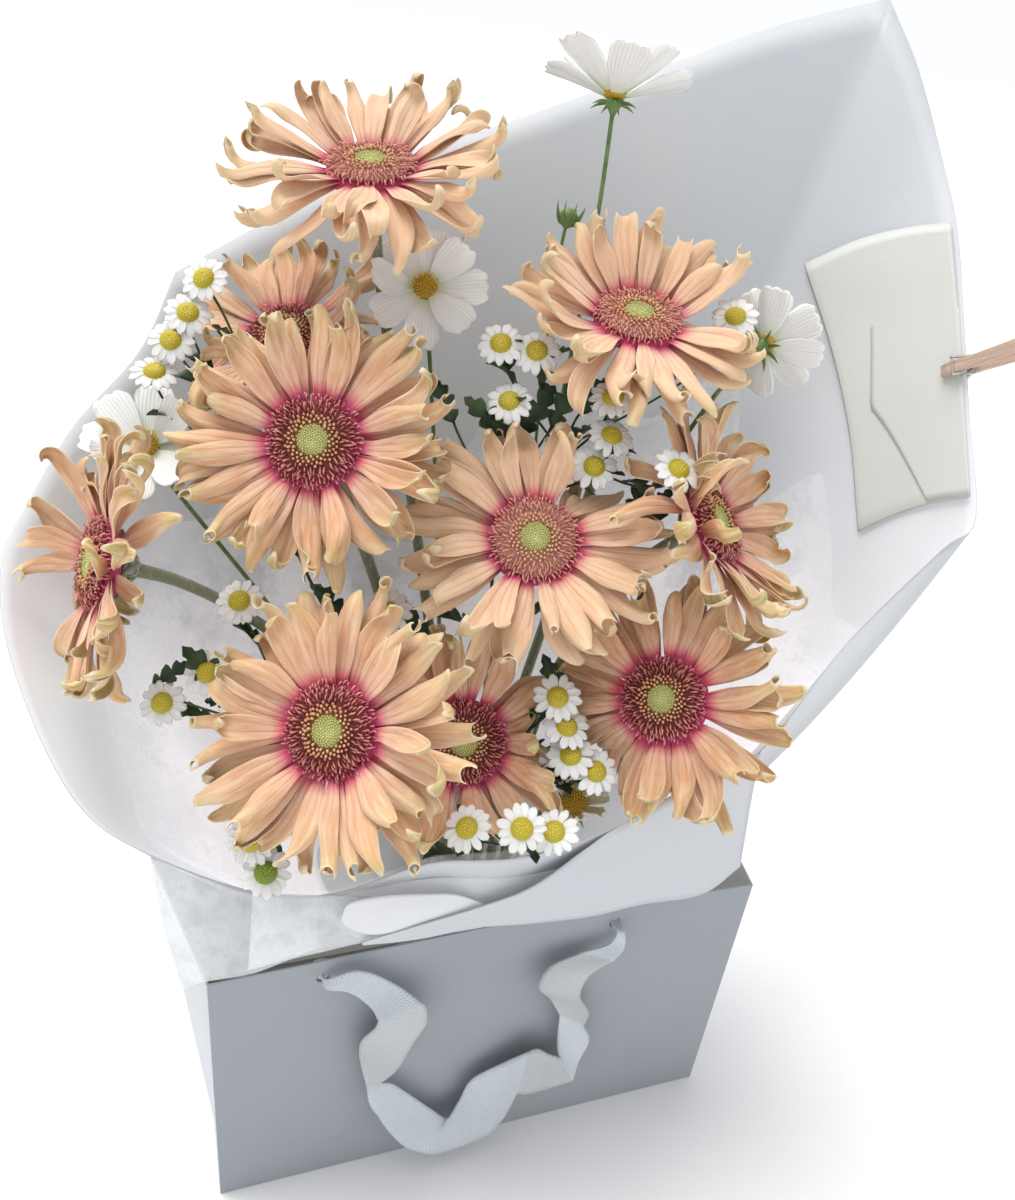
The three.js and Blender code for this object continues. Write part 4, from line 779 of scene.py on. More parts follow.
# from the back of a head in an easy curve down to the tie; the later ones swing round the earlier
def steerStem(owner, head, face, tie, radius):
    n = unit(face)
    foot = np.array((tie[0] * 1.3, tie[1] * 1.3, tieSize["foot"]))
    lead = unit(tie - foot)
    far = np.linalg.norm(head - tie)
    t = np.linspace(0, 1, 33)[:, None]
    best, most = None, -math.inf
    for swing in (0, 8, 16, 26, 36):
        for reach in (.28, .16, .42):
            for k in range(8 if swing else 1):
                away = np.array((math.cos(k * math.pi / 4), math.sin(k * math.pi / 4), 0)) * swing
                early = head - n * (reach * far) + away * .5
                late = tie + lead * (.35 * far) + away
                line = (head * (1 - t) ** 3 + early * 3 * t * (1 - t) ** 2
                        + late * 3 * t * t * (1 - t) + tie * t ** 3)
                room = (roomAt(owner, line) - radius).min()
                if room > .5:
                    return line, foot
                if room > most:
                    best, most = (line, foot), room
    return best


# the stem's line, at even distances, with how far each point is from its head
def stemLine(line, foot, steps):
    knots = np.vstack([line[[0, 4, 9, 15, 21, 27, 32]], (foot + line[32]) / 2, foot])
    reach = np.concatenate([[0], np.sqrt(np.linalg.norm(np.diff(knots, axis=0), axis=1)).cumsum()])
    fine = through(reach, knots, np.linspace(0, reach[-1], 200))
    far = farAlong(fine)
    even = np.linspace(0, far[-1], steps + 1)
    return np.stack([np.interp(even, far, fine[:, k]) for k in range(3)], 1), even


# how far the petals lean forward, more on the upper side where a flower is tilted
def leanAt(flower, turn):
    return flower["lean"] + flower.get("tilt", 0) * math.sin(turn)


def petalsOf(flower, seed):
    petals, vary = [], gerberaSize["vary"]
    for layer, look in enumerate(gerberaSize["layers"]):
        many = flower[look["row"]]
        for i in range(many):
            d = [draw(seed, i + 40 * layer, k) * 2 - 1 for k in range(10)]
            turn = (i + .5 * layer + vary["turn"] * d[1]) * fullTurn / many
            petals.append({
                "turn": turn, "root": gerberaSize["root"], "low": look["low"],
                "rise": math.radians(leanAt(flower, turn) + look["rise"] + vary["rise"] * d[2]),
                "bend": math.radians(look["bend"] + vary["bend"] * d[3]),
                "curl": math.radians(75 + 45 * d[5] if d[4] > -.35 else -55 + 30 * d[5]),
                "sway": math.radians(vary["sway"] * d[6]), "twist": math.radians(vary["twist"] * d[7]),
                "length": (gerberaSize["length"] + vary["length"] * d[8]) * flower["size"] * look["long"],
                "width": (gerberaSize["width"] + vary["width"] * d[9]) * look["wide"],
            })
    return petals


def placeGerbera(i):
    flower = gerberas[i]
    flower["petals"] = []
    for petal in petalsOf(flower, 100 + i):
        half = petal["width"] / 2
        bent = bendClear(flower, petal, half)
        flower["petals"].append(bent)
        s = np.array((.2, .35, .5, .65, .78, .9, 1))
        girth = np.maximum(gerberaSize["least"], half * outlineAt(gerberaSize["outline"], s))
        take(flower["owner"], stationsAt(courseOf(flower, bent), s)[0], girth)


cosmosOutline = ((0, .2), (.5, .86), (.8, 1), (1, .86))


def placeCosmos(i):
    flower = cosmoses[i]
    flower["petals"] = []
    half = cosmosSize["width"] / 2 * min(1.15, flower["size"])
    for k in range(cosmosSize["petals"]):
        d = [draw(200 + i, k, j) * 2 - 1 for j in range(8)]
        petal = {
            "turn": (k + .12 * d[1]) * fullTurn / cosmosSize["petals"], "root": 3.6,
            "low": -.9 if k % 2 else -2.1,
            "rise": math.radians(flower["lean"] + (4 if k % 2 else 0) + 5 * d[2]),
            "bend": math.radians(8 * d[3] - 4), "curl": math.radians(14 * d[4]),
            "sway": math.radians(6 * d[5]), "twist": math.radians(14 * d[6]),
            "length": (cosmosSize["reach"] + 1.5 * d[7]) * flower["size"] - 3.6, "half": half,
        }
        bent = bendClear(flower, petal, .6 * half)
        flower["petals"].append(bent)
        s = np.array((.4, .6, .8, 1))
        places, side, _ = stationsAt(courseOf(flower, bent), s)
        girth = (half * outlineAt(cosmosOutline, s))[:, None]
        for edge in (-.5, .5):
            take(flower["owner"], places + unit(side) * girth * edge, .5 * girth[:, 0])


# points of a leaf's middle line, which arches and then hangs
def leafLine(base, way, lift, s, scale=1.0):
    s = np.asarray(s, float)[..., None]
    arch = feverfewSize["leafArch"] * s * (feverfewSize["leafTurn"] - s) * scale
    return base + way * (feverfewSize["leaf"] * s * scale) + lift * arch


# a leaf on a spray's stem, turned the way that has the most room there
def leafWithRoom(spray, base):
    best, most = None, 1.2
    for k in range(24):
        turn = k * fullTurn / 12
        way = unit((math.cos(turn), math.sin(turn), .5 if k < 12 else 1.1))
        side = unit(np.cross(way, (0, 0, 1)))
        lift = unit(np.cross(side, way))
        places = []
        for s in (.3, .5, .7, .85, 1):
            middle = leafLine(base, way, lift, s)
            edges = (-1, 0, 1) if s < 1 else (0, 0, 0)
            places += [middle + side * (e * .34 * feverfewSize["leafWidth"]) for e in edges]
        places = np.array(places)
        room = min((roomAt(spray["owner"], places, own=9) - 2.6).min(), (wrapClearance(places) - 8).min())
        if room > most:
            best, most = (base, way, side, lift), room
    return best


# each kind stands in a ring of its own where the stems are tied: the ring's radius, its slots, its start
tieRings = {"gerbera": (17, 40, 0), "cosmos": (24, 60, 0), "feverfew_spray": (9.5, 51.4, 15)}
middleGerbera = 4


def nameFlowers():
    for kind, flowers in (("gerbera", gerberas), ("cosmos", cosmoses), ("feverfew_spray", sprays)):
        radius, apart, start = tieRings[kind]
        for i, flower in enumerate(flowers):
            flower["owner"] = f"{kind}_{i + 1}"
            flower["tie"] = tiePlace(radius, math.radians(apart * flower["slot"] + start))
            if "face" in flower:
                flower["axes"] = axesOf(flower["face"])
                flower["centre"] = np.array(flower["at"], float)
    gerberas[middleGerbera]["tie"] = tiePlace(0, 0)
    for i, spray in enumerate(sprays):
        spray["fork"] = np.array(spray["fork"], float)
        spray["made"] = [headOn(np.array(at, float), 300 + 10 * i + k, spray["fork"])
                         for k, at in enumerate(spray["heads"])]


def takeHeads():
    for flower in gerberas:
        n = flower["axes"][2]
        take(flower["owner"], flower["centre"] - 2 * n, 9)
        for k in range(10):
            ring = gerberaSize["ring"] * spokeAt(flower, k * fullTurn / 10)[0] - 3 * n
            take(flower["owner"], flower["centre"] + ring, 7)
    for flower in cosmoses:
        take(flower["owner"], flower["centre"], 7)
    for spray in sprays:
        for head in spray["made"]:
            take(spray["owner"], head["centre"], feverfewSize["head"])
            take(spray["owner"], head["twig"][1:], 1.6)


def stemOn(flower, head, face, radius):
    flower["stem"] = steerStem(flower["owner"], head, face, flower["tie"], radius)
    take(flower["owner"], flower["stem"][0], radius + .4)


def placeFlowers():
    nameFlowers()
    takeHeads()
    for flower in gerberas:
        stemOn(flower, flower["centre"] - 9 * flower["axes"][2], flower["face"], gerberaSize["stem"])
    for flower in cosmoses:
        stemOn(flower, flower["centre"] - 5.2 * flower["axes"][2], flower["face"], cosmosSize["stem"])
    for spray in sprays:
        stemOn(spray, spray["fork"], (0, -.2, 1), feverfewSize["stem"])
    for i in (0, 1):
        placeCosmos(i)
    for i in frontToBack:
        placeGerbera(i)
    for i in (2, 3, 4):
        placeCosmos(i)
    for spray in sprays:
        line, _ = stemLine(*spray["stem"], 8)
        spray["leaves"] = []
        for step in (1, 2):
            leaf = leafWithRoom(spray, line[step])
            if leaf:
                base, way, _, lift = leaf
                spray["leaves"].append(leaf)
                take(spray["owner"], leafLine(base, way, lift, (.3, .6, .9)), 7.5)


# a feverfew head's own axes, and its twig from under the head to the fork
def headOn(at, seed, fork):
    d = [draw(seed, 0, k) * 2 - 1 for k in range(4)]
    axes = axesOf(np.array((-.24, -.62, .75)) + np.array((.25 * d[1], .25 * d[2], .2 * d[3])))
    start = at - 1.4 * axes[2] - 2.2 * axes[1]
    bow = start - axes[2] * (.4 * np.linalg.norm(start - fork))
    return {"centre": at, "axes": axes, "twig": arcOf(start, bow, fork, 21), "seed": seed}


placeFlowers()
print("stems, petals and leaves placed", len(taken["place"]))


# petals end in hoods curled over the face, tubes with an open end, plain tips or tips curled under
petalLook = {
    "along": 26, "across": 12, "thick": 0.35, "vein": 0.34, "veinAt": 1 / 3, "ripple": 1.2, "aside": 16.0,
    "lopsided": .9, "lag": .036, "steps": 36,
    "outline": ((0, .34), (.14, .54), (.34, .86), (.55, 1.08), (.8, 1.14), (1, 1.08)),
    "roll": ((0, 12), (.35, 30), (.6, 62), (.8, 112), (1, 150)),
    "hood": {"roll": .50, "hook": (80, 110), "tip": .56, "rounded": .10},
    "tube": {"roll": -.9, "hook": (25, 60), "tip": .98, "rounded": -.03},
    "plain": {"roll": -.55, "hook": (-10, 60), "tip": .52, "rounded": .08},
    "curled": {"roll": .42, "hook": (60, 90), "tip": .62, "rounded": .08},
    "upwards": {"kinds": ("hood", "tube", "plain"), "shares": (.52, .86)},
    "downwards": {"kinds": ("curled", "tube", "plain"), "shares": (.35, .55)},
    "cup": ((9, -7.4), (15, -6.8), (20, -5.0), (20, -3.0), (17, -.6)),
}


# how far a petal's cross section goes aside and up at t, rolled about its middle by an angle
def rolled(half, roll, t, lopsided):
    over = half * (np.sin(roll * (t + lopsided)) - np.sin(roll * lopsided)) / roll
    rise = half * (np.cos(roll * lopsided) - np.cos(roll * (t + lopsided))) / roll
    return over, rise - .4 * half * (1 - np.cos(roll)) / roll


def gerberaPetal(bm, flower, petal, draws):
    look = petalLook
    verts, s, t = gridOf(bm, look["along"], look["across"])
    upwards = petal["curl"] > 0
    way = look["upwards" if upwards else "downwards"]
    kind = look[way["kinds"][int(np.searchsorted(way["shares"], draws.random()))]]
    hook = math.radians(kind["hook"][0] + kind["hook"][1] * draws.random()) * (1 if upwards else -1)
    course = courseOf(flower, petal, look["steps"], lag=look["lag"], hook=hook)
    edge = t * t if kind["rounded"] > 0 else -(1 - t * t)
    places, side, lift = stationsAt(course, s * (1 - abs(kind["rounded"]) * abs(edge) * s ** 5))
    half = petal["width"] / 2 * (outlineAt(look["outline"], s) * (1 - (1 - kind["tip"]) * s ** 5))
    tight = abs(kind["roll"]) * (.75 + .5 * draws.random())
    roll = np.radians(outlineAt(look["roll"], s)) * tight + 1e-3
    over, rise = rolled(half, roll, t, evenly(draws, look["lopsided"]) * s * s)
    rise = rise * (1 if kind["roll"] > 0 else -1)
    phase, waves = draws.random() * 6, 2.0 + 2 * draws.random()
    rise = rise + look["ripple"] * np.sin(phase + waves * 3 * s + 1.5 * t) * t * t * s
    over = over + evenly(draws, look["aside"]) * np.maximum(0, (s - .45) / .55) ** 2
    over = over + .5 * look["ripple"] * np.sin(phase * 2 + 7 * s) * s
    veins = abs(abs(t) - look["veinAt"]) < .02
    rise = rise - look["vein"] * veins * np.minimum(1, s * 4) * (1 - .6 * s)
    places = places + unit(side) * over[:, None] + unit(lift) * rise[:, None]
    settle(bm, verts, places, along=s, across=t, tone=draws.random(), pale=flower.get("pale", 0))


# rows between those of the solids, so that the flower is as full as the real one
extraRows = (
    {"share": (1, 0), "times": 1.0, "start": .5, "turn": .3, "low": -3.9, "long": 1.0,
     "rise": -1, "vary": 8},
    {"share": (1, 1), "times": .75, "start": .2, "turn": .5, "low": -2.5, "long": .92,
     "rise": 15, "vary": 10},
)
extraPetal = {
    "bend": (-18, 28), "curl": (25, 90), "curled": .72, "under": -60, "sway": 44, "twist": 56,
    "length": 10, "width": 2.6,
}


def extraPetals(flower, seed):
    draws, look = random.Random(seed), extraPetal
    low, high = look["bend"]
    extra = []
    for row in extraRows:
        outer, inner = row["share"]
        many = round((outer * flower["outer"] + inner * flower["inner"]) * row["times"])
        for i in range(many):
            turn = (i + row["start"] + evenly(draws, row["turn"])) * fullTurn / many
            rise = leanAt(flower, turn) + row["rise"] + evenly(draws, row["vary"])
            extra.append((row, {"turn": turn, "low": row["low"], "rise": math.radians(rise)}))
    for row, petal in extra:
        petal.update({
            "root": gerberaSize["root"], "bend": math.radians(low + evenly(draws, high)),
            "curl": math.radians(look["curl"][1] * draws.random() + look["curl"][0]
                                 if draws.random() < look["curled"] else look["under"]),
            "sway": math.radians(evenly(draws, look["sway"])),
            "twist": math.radians(evenly(draws, look["twist"])),
            "length": row["long"] * flower["size"] * (gerberaSize["length"] + evenly(draws, look["length"])),
            "width": gerberaSize["width"] + evenly(draws, look["width"]),
        })
    return [petal for row, petal in extra]


def makePetals(i):
    flower = gerberas[i]
    draws = random.Random(70 + i)
    bm = startPiece("along", "across", "tone", "pale")
    for petal in flower["petals"]:
        gerberaPetal(bm, flower, petal, draws)
    for petal in extraPetals(flower, 900 + i):
        gerberaPetal(bm, flower, bendClear(flower, petal, petal["width"] / 2), draws)
    latheOn(bm, flower, petalLook["cup"], 28, along=.0, across=0.0, tone=.4)
    materials, nodes = [petalFace, petalBack], [f"gerbera_{i + 1}_petals"]
    name = f"gerbera_{i + 1}_petal_rows"
    finishPiece(bm, name, materials, "gerbera_petal", nodes, thick=petalLook["thick"])


# a profile of radius and height turned round a flower's axis; it ends closed at both ends
def latheOn(bm, flower, profile, sides, **values):
    u, v, n = flower["axes"]
    profile = np.array(profile, float)
    profile = np.vstack([profile[:1] * (0, 1), profile, profile[-1:] * (0, 1)])
    verts, s, t = gridOf(bm, len(profile) - 1, sides)
    row = np.rint(s * (len(profile) - 1)).astype(int)
    turn = math.pi * t
    ring = u * np.cos(turn)[:, None] + v * np.sin(turn)[:, None]
    places = flower["centre"] + ring * profile[row, :1] + n * profile[row, 1:2]
    settle(bm, verts, places, **{k: (x[row] if np.ndim(x) else x) for k, x in values.items()})
    closeUp(bm, verts)


# discs: florets set by the golden angle -- a green middle, a ring of buds, and curly threads outside
golden = math.pi * (3 - math.sqrt(5))
discLook = {
    "threadSides": 5, "threadSteps": 5, "fresh": (0, 3, 4), "edge": 18.9, "seat": .3, "leanOut": 1.1,
    "rows": (
        {"count": 110, "from": 0, "to": 6.6, "girth": .34, "high": (.5, .5), "bend": (0, .1), "swirl": 0},
        {"count": 84, "from": 6.8, "to": 11.0, "girth": .56, "high": (1.5, 1.3), "bend": (.1, .5),
         "swirl": .4},
        {"count": 260, "from": 11.0, "to": 18.7, "girth": .35, "high": (3.0, 3.2), "bend": (.7, 1.9),
         "swirl": 3.4},
    ),
    "dome": ((17.6, 0), (18.2, 1.0), (14.6, 1.7), (10.6, 2.3), (6.8, 3.0), (6.2, 3.5), (3, 3.3), (.5, 2.9)),
    "domeZone": (1, 1, 1, .8, .6, .38, .2, .1, 0, 0),
}


def threadMesh(sides, steps):
    bm = bmesh.new()
    bmesh.ops.create_circle(bm, cap_ends=True, segments=sides, radius=1)
    face = bm.faces[:][0]
    for step in range(steps):
        made = bmesh.ops.extrude_face_region(bm, geom=[face], use_keep_orig=step == 0)["geom"]
        if step:
            bmesh.ops.delete(bm, geom=[face], context="FACES_ONLY")
        verts = [g for g in made if isinstance(g, bmesh.types.BMVert)]
        bmesh.ops.translate(bm, vec=(0, 0, 1 / steps), verts=verts)
        face = [g for g in made if isinstance(g, bmesh.types.BMFace)][0]
    bmesh.ops.recalc_face_normals(bm, faces=bm.faces)
    mesh = bpy.data.meshes.new("thread")
    bm.to_mesh(mesh)
    bm.free()
    return mesh


# copies of a small mesh, each bent by a shape of its own; they go in before anything is merged
def addCopies(bm, mesh, shapes, names):
    base = np.array([v.co for v in mesh.vertices])
    for shape, values in shapes:
        start = len(bm.verts)
        bm.from_mesh(mesh)
        bm.verts.ensure_lookup_table()
        layers = [bm.verts.layers.float[name] for name in names]
        places, spread = shape(base), values(base)
        for k in range(len(base)):
            vert = bm.verts[start + k]
            vert.co = places[k]
            for layer, value in zip(layers, spread):
                vert[layer] = value if np.ndim(value) == 0 else value[k]


def floret(flower, turn, r, size, look, draws):
    n = flower["axes"][2]
    out, across = spokeAt(flower, turn)
    radii, heights = np.array(discLook["dome"])[::-1].T
    seat = float(np.interp(r, radii, heights) - discLook["seat"])
    base = flower["centre"] + out * (r * size) + n * seat
    high = look["high"][0] + look["high"][1] * draws.random()
    bend = look["bend"][0] + look["bend"][1] * draws.random()
    swirl = evenly(draws, look["swirl"])
    girth = look["girth"] * (.85 + .3 * draws.random())
    share = r / discLook["edge"]
    lean = discLook["leanOut"] * share * share
    blunt = (.8, 1.1, 1.1, .55) if share < .6 else (1.0, .8, 1.15, .35)
    tone = draws.random()

    def shape(points):
        z = points[:, 2]
        angle = lean + bend * z * z
        taper = girth * np.interp(z, (0, .5, .8, 1), blunt)
        ahead = high * np.sin(angle) * z * .75 + points[:, 0] * taper * np.cos(angle)
        up = high * np.cos(angle * .75) * z - points[:, 0] * taper * np.sin(angle)
        aside = points[:, 1] * taper + swirl * z * z
        return base + out * ahead[:, None] + n * up[:, None] + across * aside[:, None]

    return shape, lambda points: (share, points[:, 2], tone)


def makeDisc(i, thread):
    flower = gerberas[i]
    size = .95 if flower["size"] < .95 else 1
    draws = random.Random(200 + i)
    bm = startPiece("zone", "lift", "tone")
    shapes = []
    for look in discLook["rows"]:
        near, far = look["from"] ** 2, look["to"] ** 2
        for k in range(look["count"]):
            r = math.sqrt(near + (far - near) * (k + .5) / look["count"])
            shapes.append(floret(flower, k * golden, r, size, look, draws))
    addCopies(bm, thread, shapes, ("zone", "lift", "tone"))
    dome = np.array(discLook["dome"]) * (size, 1)
    latheOn(bm, flower, dome, 24, zone=np.array(discLook["domeZone"]), lift=0.0, tone=0.5)
    finish = freshFlorets if i in discLook["fresh"] else florets
    finishPiece(bm, f"gerbera_{i + 1}_florets", [finish], "gerbera_disc", [f"gerbera_{i + 1}_disc"])


# a downy stem that swells to a calyx, with two rows of bracts that overlap up it
stalkLook = {
    "sides": 14, "swell": .25, "swellLength": 18,
    "calyx": ((2.9, -19), (4.2, -17), (8.5, -13.4), (13, -9.8), (15.2, -8), (14.6, -7.7), (7, -7.6)),
    "bracts": 14, "bractRows": (((4.2, -16.6), (11.4, -10.2)), ((8.6, -13.0), (16.4, -7.2))),
    "bractHalf": 1.7, "bractOutline": ((0, .9), (.4, 1), (1, .08)), "bractThick": (-.4, .2),
}


def bractOn(bm, flower, turn, foot, tip):
    look, n = stalkLook, flower["axes"][2]
    out, across = spokeAt(flower, turn)
    verts, s, t = gridOf(bm, 5, 2)
    half = look["bractHalf"] * outlineAt(look["bractOutline"], s)
    r, z = (a + (b - a) * s for a, b in zip(foot, tip))
    r, z = r + .5, z - .5 * (1 - abs(t)) - .2
    settle(bm, verts, flower["centre"] + out * r[:, None] + n * z[:, None] + across * (half * t)[:, None])
    made = bmesh.ops.extrude_face_region(bm, geom=list({f for w in verts for f in w.link_faces}))["geom"]
    lid = [g for g in made if isinstance(g, bmesh.types.BMVert)]
    down, outwards = look["bractThick"]
    bmesh.ops.translate(bm, vec=tuple(n * down + out * outwards), verts=lid)


def makeGerberaStem(i):
    flower, look = gerberas[i], stalkLook
    line, far = stemLine(*flower["stem"], 60)
    bm = bmesh.new()
    thick = gerberaSize["stem"] * (1 + look["swell"] * np.exp(-(far / look["swellLength"]) ** 2))
    tubeOf(bm, line, thick, look["sides"])
    latheOn(bm, flower, look["calyx"], 20)
    draws = random.Random(40 + i)
    for row, (foot, tip) in enumerate(look["bractRows"]):
        for k in range(look["bracts"]):
            turn = (k + .5 * row + .2 * draws.random()) * fullTurn / look["bracts"]
            bractOn(bm, flower, turn, foot, tip)
    bmesh.ops.recalc_face_normals(bm, faces=bm.faces)
    finishPiece(bm, f"gerbera_{i + 1}_stalk", [downyStem], "gerbera_stem", [f"gerbera_{i + 1}_stem"])


thread = threadMesh(discLook["threadSides"], discLook["threadSteps"])
for i in range(len(gerberas)):
    makePetals(i)
    makeDisc(i, thread)
    makeGerberaStem(i)
print("gerberas made")


# cosmos: eight wide ribbed petals with notched ends, and an eye of anthers
cosmosLook = {
    "along": 14, "across": 16, "thick": .35, "rib": .22, "ribs": 8, "notch": .075, "florets": 90,
    "outline": ((0, .2), (.2, .55), (.5, .9), (.8, 1.02), (1, .93)), "wilted": 4, "wiltedWidth": .55,
    "anther": ((0, .55), (.6, .6), (.85, 1), (1, .5)), "antherGirth": .42, "stem": 10,
    "calyx": ((1.2, -10), (2.2, -8), (4.2, -5), (4.4, -4), (2.2, -3.5)),
    "sepals": {"girth": ((0, .7), (.4, .9), (1, .15)), "reach": (3.4, 8, 0), "rise": (-4.6, 1.2, -3.4, 2)},
}


def cosmosPetalOn(bm, flower, petal, draws, wilted):
    look = cosmosLook
    verts, s, t = gridOf(bm, look["along"], look["across"])
    teeth = 1 - abs(np.cos(t * math.pi * 1.5)) * .7
    short = look["notch"] * teeth + .10 * t ** 4
    course = courseOf(flower, petal, 28, lag=petalLook["lag"])
    places, side, lift = stationsAt(course, s * (1 - short * s ** 3))
    half = petal["half"] * outlineAt(look["outline"], s) * (look["wiltedWidth"] if wilted else 1)
    cup = .16 * half * t * t + look["rib"] * np.cos(t * look["ribs"] * math.pi) * np.minimum(1, s * 3)
    wave = (.9 + wilted) * np.sin(draws.random() * 6 + 5 * t + 3 * s) * s * s * abs(t)
    places = places + unit(side) * (half * t)[:, None] + unit(lift) * (cup + wave)[:, None]
    settle(bm, verts, places, along=s, across=t, tone=draws.random())


def anther(flower, k, radius, draws, wilted):
    look, n = cosmosLook, flower["axes"][2]
    share = math.sqrt((k + .5) / look["florets"])
    out, across = spokeAt(flower, k * golden)
    base = flower["centre"] + out * (share * radius) + n * (2.8 - 2.2 * share ** 3)
    high = 1.0 + 1.6 * draws.random() * (.4 + share)
    tone = draws.random() if not wilted else .3 * draws.random() + .6

    def shape(points):
        z = points[:, 2]
        taper = outlineAt(look["anther"], z) * look["antherGirth"]
        return (base + out * (points[:, 0] * taper + z * high * share * .5)[:, None]
                + across * (points[:, 1] * taper)[:, None] + n * (z * high)[:, None])

    return shape, lambda points: (points[:, 2], tone * (points[:, 2] > .55) * (points[:, 2] < .9))


def makeCosmos(i, thread):
    flower = cosmoses[i]
    wilted = i == cosmosLook["wilted"]
    draws = random.Random(500 + i)
    bm = startPiece("along", "across", "tone")
    for petal in flower["petals"]:
        cosmosPetalOn(bm, flower, petal, draws, wilted)
    # anthers spread over a low dome
    eye = startPiece("lift", "tone")
    radius = cosmosSize["dome"] * (1.25 if wilted else 1.1)
    shapes = [anther(flower, k, radius, draws, wilted) for k in range(cosmosLook["florets"])]
    addCopies(eye, thread, shapes, ("lift", "tone"))
    dome = ((3.4, -3), (radius, -1.4), (radius * .95, .6), (radius * .6, 2.2), (.4, 3))
    latheOn(eye, flower, dome, 18, lift=0.2, tone=0.3)
    name, slot = f"cosmos_{i + 1}", "cosmos_petal"
    petals = [wiltedPetal if wilted else cosmosPetal]
    finishPiece(bm, f"{name}_petals", petals, slot, [f"{name}_bloom"], thick=cosmosLook["thick"])
    finishPiece(eye, f"{name}_eye", [cosmosEye], slot, [f"{name}_bloom"])


# the first cosmos carries a bud on a side twig
budLook = {
    "on": 0, "at": (45, 81, 468), "bow": (42, 88, 430), "from": .42, "face": (.1, -.1, .98), "twig": .8,
    "profile": ((1, -1.5), (4.0, .6), (4.9, 2.6), (4.4, 5), (2.6, 7.2), (.8, 7.8)),
    "sepals": {"girth": ((0, .6), (.4, .8), (1, .12)), "reach": (3.2, 5.5, -1.5), "rise": (.4, 0, 9, 1.3)},
}


# eight narrow sepals, each a line of how far out it goes and how high it rises
def sepalsOn(bm, head, offset, look):
    bend = np.linspace(0, 1, 7)[:, None]
    start, straight, curved = look["reach"]
    low, even, steep, power = look["rise"]
    for k in range(8):
        out = spokeAt(head, (k + offset) * fullTurn / 8)[0]
        high = low + even * bend + steep * bend ** power
        line = head["centre"] + out * (start + straight * bend + curved * bend ** 2) + head["axes"][2] * high
        tubeOf(bm, line, outlineAt(look["girth"], bend[:, 0]), 6)


def makeBud(bm, line, far):
    look = budLook
    start = np.array([np.interp(look["from"] * far[-1], far, line[:, k]) for k in range(3)])
    bud, bow = np.array(look["at"], float), np.array(look["bow"], float)
    tubeOf(bm, arcOf(start, bow, bud, 24), look["twig"], 8)
    head = {"centre": bud, "axes": axesOf(look["face"])}
    latheOn(bm, head, look["profile"], 16)
    sepalsOn(bm, head, 0, look["sepals"])


def makeCosmosStem(i):
    flower = cosmoses[i]
    line, far = stemLine(*flower["stem"], 60)
    bm = bmesh.new()
    tubeOf(bm, line, cosmosSize["stem"], cosmosLook["stem"])
    latheOn(bm, flower, cosmosLook["calyx"], 16)
    sepalsOn(bm, flower, .5, cosmosLook["sepals"])
    if i == budLook["on"]:
        makeBud(bm, line, far)
    finishPiece(bm, f"cosmos_{i + 1}_stalk", [cosmosGreen], "cosmos_green", [f"cosmos_{i + 1}_stem"])


for i in range(len(cosmoses)):
    makeCosmos(i, thread)
    makeCosmosStem(i)
print("cosmos made")


# feverfew: white ligules round a dome of small florets, on thin dark twigs with lobed leaves
feverfewLook = {
    "ligules": 13, "reach": 7.8, "root": 4.0, "thick": .25, "florets": 70, "twig": .62, "green": (3, 5),
    "rayOutline": ((0, .5), (.3, .8), (.65, 1), (.88, .86), (1, .42)),
    "floret": ((0, .42), (.5, .5), (1, .22)), "domeRadius": 3.7, "domeTilt": 1.35,
    "twigLeaves": ((12, -9, .72), (7, 9, .6)), "leafFace": (-.3, -.7, .6), "leafScale": 1.3,
    "leafThick": .3, "shootBow": (0, 4, -8),
    "dome": ((1.0, -3.0), (3.4, -2.2), (5.0, -.5), (5.0, .6), (4.0, 2.0), (2.2, 2.8), (.3, 2.6)),
    "calyx": ((.8, -4.2), (3.2, -3.1), (5.1, -1.5), (5.3, -.7), (2, -.6)),
    "leafOutline": (
        (0, .10), (.10, .10), (.16, .62), (.24, .88), (.29, .66), (.33, .30), (.40, .80), (.50, 1.06),
        (.56, .84), (.60, .34), (.67, .72), (.76, .86), (.80, .56), (.84, .34), (.90, .42), (1, .04),
    ),
}


def liguleOn(rays, head, k, draws):
    look, n = feverfewLook, head["axes"][2]
    out, across = spokeAt(head, (k + evenly(draws, .35)) * fullTurn / look["ligules"])
    long = look["reach"] - 1.2 * draws.random()
    droop = 1.2 + 1.8 * draws.random()
    verts, s, t = gridOf(rays, 8, 6)
    half = (1.9 + .3 * draws.random()) * outlineAt(look["rayOutline"], s)
    short = 1 - .08 * (1 - abs(np.cos(t * math.pi * 1.5))) * s ** 3 - .08 * t ** 4 * s
    r = look["root"] + long * s * short
    z = .1 + .5 * s - droop * s * s + .35 * t * t - .15 * np.cos(t * 3 * math.pi) + .12 * (k % 2)
    places = head["centre"] + out * r[:, None] + across * (half * t)[:, None] + n * z[:, None]
    settle(rays, verts, places, along=s, across=t, tone=draws.random())


def domeFloret(head, k, draws):
    look, n = feverfewLook, head["axes"][2]
    share = math.sqrt((k + .5) / look["florets"])
    tilt = share * look["domeTilt"]
    lean = spokeAt(head, k * golden)[0] * math.sin(tilt) + n * math.cos(tilt)
    base = head["centre"] - n * 1.2 + lean * (look["domeRadius"] + .35 * share + (0 if share > .3 else -.5))
    side = unit(np.cross(lean, n + .01 * head["axes"][0]))
    other = np.cross(lean, side)
    high = .8 + .3 * draws.random()
    tone = .3 * draws.random() + (.55 if share < .3 else .2)

    def shape(points):
        taper = outlineAt(look["floret"], points[:, 2])[:, None]
        return (base + side * points[:, :1] * taper + other * points[:, 1:2] * taper
                + lean * points[:, 2:] * high)

    return shape, lambda points: (points[:, 2], tone)


